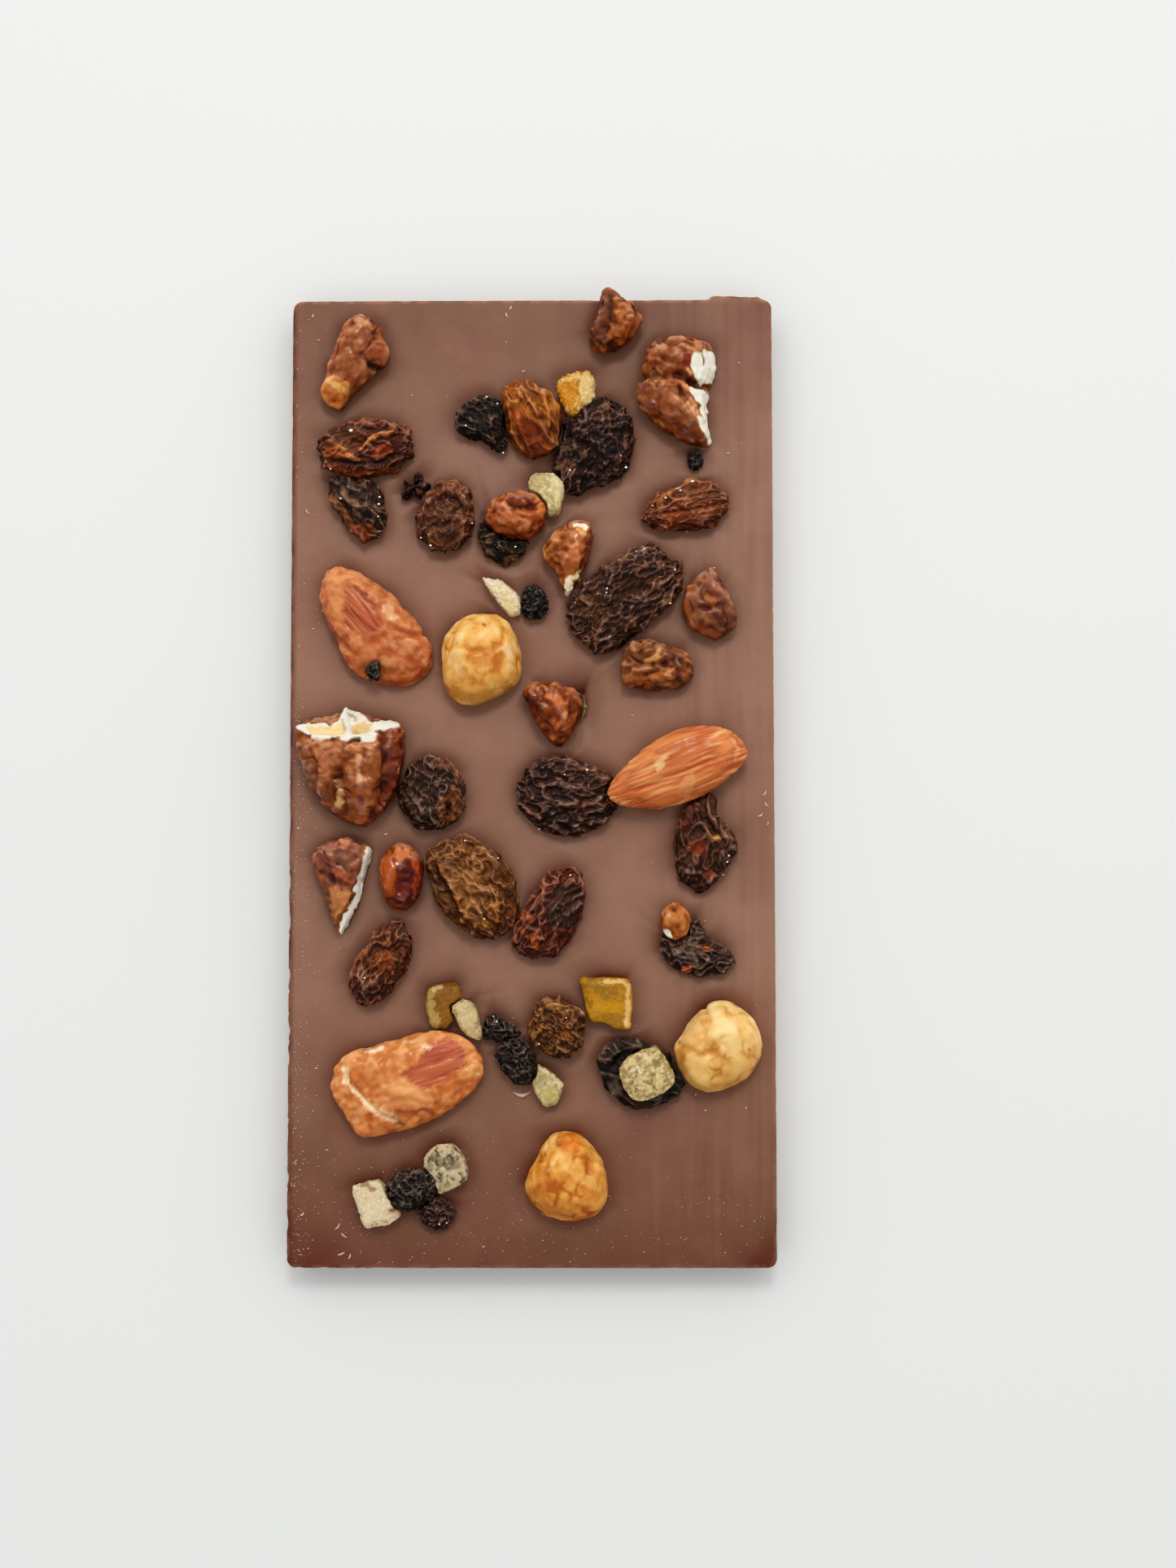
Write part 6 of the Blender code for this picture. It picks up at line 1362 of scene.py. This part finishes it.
for number, (name, look) in enumerate(BERRIES.items()):
    seed = 1100 + 20 * number
    points, outward, own = whole_form(name, BERRY_CELL, BERRY_RAYS)
    wrinkled = wrinkles(own / look["size"], seed)
    pointed = 0.55 * np.cos(5 * np.arctan2(own[..., 1], own[..., 0])) if name == "berry_01" else 0.0
    height = 0.62 * wrinkled - 0.4 + pointed + 0.2 * grain(own / 1.4, seed + 7)
    height = height + 0.12 * grain(own / 0.5, seed + 8)
    relief = np.clip(0.2 + 0.75 * wrinkled, 0, 1)
    wrinkled_skin = points + outward * height[..., None]
    add_closed("skin_of_" + name, name, wrinkled_skin,
               {"relief": relief, **leaning(wrinkled_skin), **tints(points, look, seed + 12)},
               raisin_finish(name, look), "dark_berry")


# Candied fruit. Cubes of citrus peel and of pale candied melon and ginger, boiled in syrup until they let
# light through, then dried: soft corners, a frost of fine sugar, and clear patches between.
PEEL_CELL, PEEL_RAYS = 0.18, (40, 74)
CANDIED = {
    "peel_01": dict(clear=(228, 162, 28), frost=(248, 222, 148), slot="yellow_peel", frosted=0.45, fuzz=0.35,
        areas=[((226, 154, 20), 0.85, 0.5, 0, [(3.6, 65.2), (6.6, 66.2), (7.4, 63.6), (6.4, 60.8),
            (4.8, 62.6)]),
          ((250, 230, 168), 0.8, 0.6, 0, [(7.4, 67.4), (10.4, 66.6), (10.8, 63), (8.4, 62.2), (7.8, 64.4)]),
          ((250, 238, 190), 0.8, 0.4, 0.4, [(10.4, 63), (8.6, 61.8)])]),
    "peel_02": dict(clear=(206, 192, 138), frost=(238, 232, 188), frosted=0.5, fuzz=0.1,
        areas=[((196, 184, 128), 0.75, 0.4, 0, [(0, 50.6), (2.4, 50.8), (2.8, 48.8), (1, 47.8),
            (-0.6, 48.6)]),
          ((246, 240, 206), 0.8, 0.4, 0.25, [(-0.8, 49.6), (0.6, 51.2), (3, 51), (5.2, 49.6)]),
          ((242, 234, 190), 0.7, 0.4, 0, [(3.2, 50.2), (5.6, 49.2), (5.4, 46.6), (4, 45.8), (3, 48)]),
          ((176, 160, 98), 0.6, 0.4, 0.5, [(3.4, 45), (3.6, 43.6)])]),
    "peel_03": dict(clear=(236, 226, 184), frost=(250, 245, 224), frosted=0.6, fuzz=0.15,
        areas=[((138, 124, 82), 0.8, 0.4, 0.5, [(-8, 31.4), (-6.4, 29.6), (-5, 27.6)]),
          ((232, 222, 160), 0.6, 0.4, 0.7, [(-4.4, 30), (-3.2, 28)]),
          ((248, 244, 230), 0.8, 0.4, 0.4, [(-8, 33), (-6, 32.2)]),
          ((120, 104, 66), 0.7, 0.4, 0.35, [(-2.6, 31.6), (-1.6, 29.6)])]),
    "peel_04": dict(clear=(150, 140, 80), frost=(206, 204, 156), frosted=0.4, fuzz=0.2,
        areas=[((226, 224, 190), 0.8, 0.5, 0.5, [(7.6, 15), (9.4, 14.8)]),
          ((156, 152, 106), 0.7, 0.4, 0.5, [(5.8, 15.6), (7.4, 15.2)])]),
    "peel_05": dict(clear=(150, 102, 2), frost=(206, 182, 112), slot="yellow_peel", frosted=0.35, fuzz=0.1,
        areas=[((198, 174, 106), 0.75, 0.5, 0.7, [(-16.4, -35), (-16.6, -38), (-15.6, -40.4)]),
          ((150, 100, 0), 0.7, 0.4, 0, [(-15, -34.4), (-12, -34.4), (-12.6, -39.4), (-14.6, -40.6)]),
          ((226, 206, 150), 0.7, 0.3, 0.25, [(-16, -34.8), (-14.8, -34.2)])]),
    "peel_06": dict(clear=(184, 164, 112), frost=(226, 212, 168), frosted=0.55, fuzz=0.1,
        areas=[((226, 214, 168), 0.6, 0.4, 0, [(-12.6, -37), (-10, -36.6), (-8.8, -38), (-9.4, -39.8),
            (-12, -39.8)]), ((196, 170, 116), 0.6, 0.4, 0.5, [(-11.4, -41), (-9.4, -41.6)])]),
    "peel_07": dict(clear=(200, 190, 134), frost=(226, 218, 172), frosted=0.45, fuzz=0.1,
        areas=[((244, 238, 204), 0.7, 0.4, 0.3, [(1.4, -47.4), (3.4, -48.6), (5, -50.6)]),
          ((206, 196, 118), 0.5, 0.5, 0.9, [(2.4, -51.6), (3.6, -52.6)])]),
    "peel_08": dict(clear=(202, 148, 0), frost=(208, 156, 4), slot="yellow_peel", frosted=0.15, fuzz=0.05,
        folds=[(0.8, 1, [(9, -38.8), (10.2, -39.6)]), (0.5, 0.8, [(8.6, -33.4)]),
          (0.5, 0.8, [(15.6, -40.6)])],
        areas=[((136, 100, 0), 0.6, 0.5, 0.5, [(9.4, -33.6), (10.6, -33.8)]),
          ((146, 110, 0), 0.5, 0.5, 0.7, [(12.4, -39), (14, -39.6)]),
          ((150, 114, 0), 0.5, 0.6, 0.6, [(11, -35), (13.6, -35.2)]),
          ((222, 170, 0), 0.5, 0.5, 0.9, [(11, -37.6), (14.6, -37.6)]),
          ((246, 214, 146), 0.85, 0.35, 0.35, [(12, -33.3), (14.8, -33.4), (15.9, -34.2), (15.8, -37),
            (15.6, -40.4)])]),
    "peel_09": dict(clear=(178, 158, 96), frost=(238, 226, 176), frosted=0.52, fuzz=0.2,
        areas=[((250, 246, 216), 0.8, 0.3, 0.16, [(16.4, -48), (16.6, -47.3), (17.4, -47.3), (17.8, -48.2),
            (17.2, -49.2), (16.4, -48.8)]),
          ((250, 246, 216), 0.7, 0.4, 0.16, [(18.4, -45.4), (19.4, -46.6), (19.8, -47.6)])]),
    "peel_10": dict(clear=(104, 92, 62), frost=(222, 214, 184), frosted=0.55, fuzz=0.15,
        areas=[((110, 96, 60), 0.6, 0.5, 0.5, [(-16.2, -61.6), (-14.4, -62.8)]),
          ((116, 102, 66), 0.6, 0.5, 0.5, [(-13.4, -63.4), (-11.8, -63.2)]),
          ((140, 124, 80), 0.6, 0.4, 0.5, [(-14.8, -66.8), (-13.6, -66.2)])]),
    "peel_11": dict(clear=(204, 190, 146), frost=(240, 234, 208), frosted=0.65, fuzz=0.12,
        areas=[((150, 106, 60), 0.75, 0.5, 0.4, [(-27.6, -66.4), (-26, -66.8)]),
          ((226, 188, 156), 0.7, 0.4, 0.6, [(-23.4, -70.6), (-22, -71)]),
          ((120, 62, 20), 0.85, 0.2, 0.3, [(-22.9, -70.6), (-22.3, -70.5)]),
          ((248, 244, 230), 0.4, 0.6, 1.2, [(-26.4, -70.6), (-24.6, -70.8)])]),
}


def candied_finish(name, look):
    """Clear syrup-soaked flesh, paler, rougher and duller where sugar has dried on it. The yellow peel has a
    thinner coat of syrup."""
    material, paint, surface = new_finish(name, {"IOR": 1.45, "Specular IOR Level": 0.2,
                                                 "Coat Roughness": 0.15, "Subsurface Weight": 0.25,
                                                 "Subsurface Scale": MM,
                                                 "Subsurface Radius": (1.2, 0.9, 0.4)})
    relief = mark(paint, "relief")
    level = cloud(paint, 0.9, 4.0, 2.0) * 0.9 + relief * 0.3 + look["frosted"] - 0.65
    frosted = rise(level, 0.36, 0.56)
    deeper = srgb(*[level * 0.84 for level in look["clear"]])
    flesh = between(rise(cloud(paint, 1.2, 3.0, 4.0), 0.35, 0.65), deeper, srgb(*look["clear"]))
    laid = tinted(paint, between(frosted * 0.9, flesh, srgb(*look["frost"])))
    grains = rise(cloud(paint, 0.4, 3.0, 8.0), 0.48, 0.66)
    laid = dyed((1 - grains) * 0.6, laid, 0.70, 0.64, 0.54)
    dyed(1.0, laid, 1.02, 0.91, 0.78).feeds(surface["Base Color"])
    (frosted * 0.3 + 0.25).feeds(surface["Roughness"])
    syrup = 0.15 if "slot" in look else 0.5
    ((1 - frosted * 0.7) * syrup).feeds(surface["Coat Weight"])
    bumps(cloud(paint, 0.35, 3.0, 6.0), 0.14, surface)
    return material


for number, (name, look) in enumerate(CANDIED.items()):
    seed = 1300 + 20 * number
    points, outward, own = whole_form(name, PEEL_CELL, PEEL_RAYS)
    lumps = grain(own / 2.0, seed)
    sugar = grain(own / 0.6, seed + 1)
    edges = grain(own / 0.45, seed + 2)
    pressed = folded(points, look)
    fuzz = look["fuzz"] * (edges + 0.6 * grain(own / 1.1, seed + 3))
    height = 0.12 * lumps + 0.08 * sugar + fuzz + pressed - 0.06
    relief = np.clip(0.5 + 0.4 * lumps + 0.4 * sugar + look["fuzz"] * edges, 0, 1)
    add_closed("cube_" + name, name, points + outward * height[..., None],
               {"relief": relief, **tints(points, look, seed + 6)},
               candied_finish(name, look), look.get("slot", "pale_candied_fruit"))


# Sugar crystals. Loose grains of coarse sugar that stuck to sticky raisins, berries and an almond, white and
# glassy, most of them on the rims. Each is a place as seen in the photo and a size.
CRYSTAL_DEPTH = 1.4
CRYSTAL_SCALE = 0.7
CRYSTALS = [("raisin_01", [(-30.4, 57.9, 0.55), (-33.4, 51.4, 0.25)]), ("raisin_02", [(-31.6, 46.4, 0.35),
    (-25.2, 46.9, 0.35), (-25.2, 45.7, 0.4), (-25.4, 43.4, 0.3)]), ("raisin_03", [(-7.4, 63.6, 0.35),
    (-5.6, 62.6, 0.3), (-11, 58.4, 0.35), (-4.6, 54.4, 0.3)]), ("raisin_05", [(15.7, 52, 0.45),
    (15, 53.4, 0.25), (6.2, 51.2, 0.35)]), ("raisin_06", [(-18.6, 40, 0.35), (-16.6, 38.6, 0.4),
    (-17.4, 40.6, 0.25), (-9.8, 42.3, 0.25)]), ("raisin_07", [(-2.4, 38.2, 0.35)]),
    ("raisin_08", [(26.8, 49.3, 0.5), (22.3, 46.4, 0.4), (24.8, 47.9, 0.35), (23.9, 48.2, 0.25),
    (25.9, 40.9, 0.3), (20, 45, 0.3)]), ("raisin_09", [(19, 38.1, 0.3), (17.2, 37.9, 0.3), (12.4, 31.4, 0.35),
    (12.2, 30.6, 0.3), (24, 34.4, 0.3), (22.9, 28.9, 0.35), (7, 29.2, 0.25)]), ("raisin_11", [(9.2, 1.6, 0.4),
    (1, -8.6, 0.3), (5.6, 0.2, 0.25)]), ("raisin_12", [(32.6, -13, 0.4), (32.4, -14, 0.35)]),
    ("raisin_13", [(-11, -10, 0.4), (-7.6, -23.4, 0.35), (-5.4, -13.2, 0.35)]),
    ("raisin_14", [(6.4, -15.8, 0.35)]), ("raisin_15", [(-27.2, -32.8, 0.35)]),
    ("raisin_16", [(1.2, -43.8, 0.3), (5.8, -39.6, 0.25)]), ("berry_06", [(-6.2, -38.8, 0.25),
    (-5.4, -39.8, 0.3)]), ("berry_09", [(-15, -72.6, 0.28), (-13.8, -72.6, 0.25)]),
    ("raisin_12", [(32, -16.4, 0.25)]), ("almond_03", [(-17, -44, 0.3), (-8.6, -48.7, 0.25),
    (-16.2, -47.4, 0.2)])]


def solid_bits(places, sizes, seed):
    """Many small angular bits as one mesh: eight corners of a cube, each moved at random, turned at random
    about the upright and sized. Returns the points and the faces."""
    chance = np.random.default_rng(seed)
    cube = np.array([(x, y, z) for z in (-1, 1) for x, y in ((-1, -1), (1, -1), (1, 1), (-1, 1))], float)
    faces = np.array([(0, 3, 2, 1), (4, 5, 6, 7), (0, 1, 5, 4), (1, 2, 6, 5), (2, 3, 7, 6), (3, 0, 4, 7)])
    corners = cube * (1 + chance.uniform(-0.35, 0.2, (len(places), 8, 3)))
    turn = chance.uniform(0, math.tau, len(places))[:, None]
    across, along = corners[..., 0], corners[..., 1]
    corners = np.stack([across * np.cos(turn) - along * np.sin(turn),
                        across * np.sin(turn) + along * np.cos(turn), corners[..., 2]], -1)
    points = np.asarray(places)[:, None] + corners * np.asarray(sizes)[:, None] / 2
    order = faces + 8 * np.arange(len(places))[:, None, None]
    return points.reshape(-1, 3), order.reshape(-1, 4)


def top_of(surface, x, y):
    """The surface's highest point within 0.3 mm of a place seen from above, or else its nearest point."""
    away = np.hypot(surface[:, 0] - x, surface[:, 1] - y)
    return surface[np.where(away < 0.3, 100 + surface[:, 2], -away).argmax()]


spots = [(SURFACES[name], x, y, size) for name, group in CRYSTALS for x, y, size in group]
crystal_places = [top_of(surface, *measured([(x, y)], surface[:, 2].max() - CRYSTAL_DEPTH)[0])
                  for surface, x, y, size in spots]
crystal_sizes = CRYSTAL_SCALE * np.array([[size * 1.3, size, size * 0.8] for surface, x, y, size in spots])
crystal_finish, paint, surface = new_finish("sugar", {"Roughness": 0.2, "Coat Weight": 0.3})
grains = rise(cloud(paint, 0.3), 0.4, 0.6)
between(grains, srgb(240, 226, 204), srgb(252, 246, 236)).feeds(surface["Base Color"])
add_mesh("sugar_crystals", *solid_bits(crystal_places, crystal_sizes, 41), {}, crystal_finish,
         "pale_candied_fruit", False)


# Chocolate shavings and crumbs. Pale slivers and dust scraped off the bar's own edges when it left the mould.
# They lie loose on the face, most of them near the left edge and the near corners. A shaving is its place,
# its length and the angle that it lies at.
SHAVINGS = [(-36.6, 77.4, 0.7, 80), (-35.6, 73.3, 0.5, 40), (-37.2, 44.4, 1.5, -55), (-34.6, 27.8, 0.7, -60),
    (-38.4, -8.2, 0.7, -30), (-24, -9.2, 0.7, 15), (16.6, 10.3, 0.6, -20), (-3.6, 78.6, 0.9, 60),
    (-4.2, 77.4, 0.9, -70), (-1.4, 67.9, 0.6, 10), (38.3, -2.6, 1.2, 60), (38.6, -4.4, 1, -50),
    (37.6, -6.2, 1, 30), (38.8, -7.6, 0.8, 75), (-35.2, -47.5, 0.6, 0), (-33.4, -60.8, 0.6, 0),
    (-26.2, -57.9, 1.1, -60), (-1.6, -51.7, 2.8, 0), (-31.6, -73.2, 1.4, 50), (-30.6, -74.6, 1.2, -40),
    (-31, -77.6, 1.3, 20), (-29.6, -78, 1, 70), (-37.4, -71.2, 0.9, 40), (30.2, 34.8, 0.5, 0),
    (28.4, -23.6, 0.4, 0), (26.8, -51.8, 0.5, 60), (24.6, 63.4, 0.4, 0), (34.5, 69.2, 0.4, 0),
    (32.6, 54, 0.6, 0), (-36.2, 24.8, 0.4, 0), (-20, 63.9, 0.4, 0), (28.4, -54.4, 0.4, 0), (35, -54, 0.4, 30),
    (-7.8, -76.4, 0.6, 0)]
LOOSE_CRUMBS = 900
CRUMB_EDGE_X, CRUMB_EDGE_Y = 39.0, 79.0


def slivers(strips, seed):
    """Curled slivers as one mesh. Each is a strip of 6 lengths, thickest in the middle, that rises as a bow,
    and its section is a diamond. Returns the points and the faces."""
    chance = np.random.default_rng(seed)
    steps = np.linspace(-1, 1, 7)
    points, faces = [], []
    for x, y, length, angle in strips:
        bow = chance.uniform(0.1, 0.4) * length
        lean = math.radians(angle)
        width = (0.09 + 0.05 * length) * (1.1 - steps ** 2)
        along, side = steps * length / 2, bow * (steps ** 2 - 0.5) * 0.6
        middle = np.stack([x + along * math.cos(lean) - side * math.sin(lean),
                           y + along * math.sin(lean) + side * math.cos(lean),
                           FACE + 0.12 + 0.25 * bow * (1 - steps ** 2)], 1)
        sideways = np.array([-math.sin(lean), math.cos(lean), 0])
        section = [sideways, np.array([0, 0, 0.6]), -sideways, np.array([0, 0, -0.6])]
        first = 4 * len(steps) * len(points)
        points.append(np.stack([middle + width[:, None] * part for part in section], 1).reshape(-1, 3))
        ring = first + np.arange(4 * len(steps)).reshape(-1, 4)
        beside = np.roll(ring, -1, 1)
        faces.append(np.stack([ring[:-1], beside[:-1], beside[1:], ring[1:]], -1).reshape(-1, 4))
        faces.append(np.array([ring[0, ::-1], ring[-1]]))
    return np.concatenate(points), np.concatenate(faces)


chance = np.random.default_rng(43)
near_edge = np.abs(chance.normal(0, 1, LOOSE_CRUMBS))
crumb_x = np.where(chance.random(LOOSE_CRUMBS) < 0.55, -CRUMB_EDGE_X - 0.2 + 1.9 * near_edge,
                   chance.uniform(-CRUMB_EDGE_X, CRUMB_EDGE_X, LOOSE_CRUMBS))
crumb_y = np.where(crumb_x < -33, chance.uniform(-CRUMB_EDGE_Y, 10, LOOSE_CRUMBS),
                   -CRUMB_EDGE_Y - 0.2 + 9.0 * near_edge)
anywhere = chance.random(LOOSE_CRUMBS) < 0.3
crumb_y = np.where(anywhere, chance.uniform(-CRUMB_EDGE_Y, CRUMB_EDGE_Y, LOOSE_CRUMBS), crumb_y)
on_face = (np.abs(crumb_x) < CRUMB_EDGE_X + 0.3) & (np.abs(crumb_y) < CRUMB_EDGE_Y + 0.3)
kept = (footprints(crumb_x, crumb_y)[0] > 0.4) & on_face
crumb_x, crumb_y = crumb_x[kept], crumb_y[kept]
crumb_size = chance.uniform(0.06, 0.2, len(crumb_x))
crumb_places = np.stack([crumb_x, crumb_y, FACE + 0.02 + crumb_size * 0.3], 1)
crumb_finish, paint, surface = new_finish("dry_chocolate", {"Roughness": 0.6})
dusty = rise(cloud(paint, 2.0), 0.35, 0.65)
between(dusty, srgb(190, 146, 118), srgb(222, 190, 166)).feeds(surface["Base Color"])
crumbs = solid_bits(crumb_places, crumb_size[:, None] * (1, 0.8, 0.6), 44)
add_mesh("chocolate_crumbs", *crumbs, {}, crumb_finish, "milk_chocolate", False)
add_mesh("chocolate_shavings", *slivers(SHAVINGS, 45), {}, crumb_finish, "milk_chocolate", False)
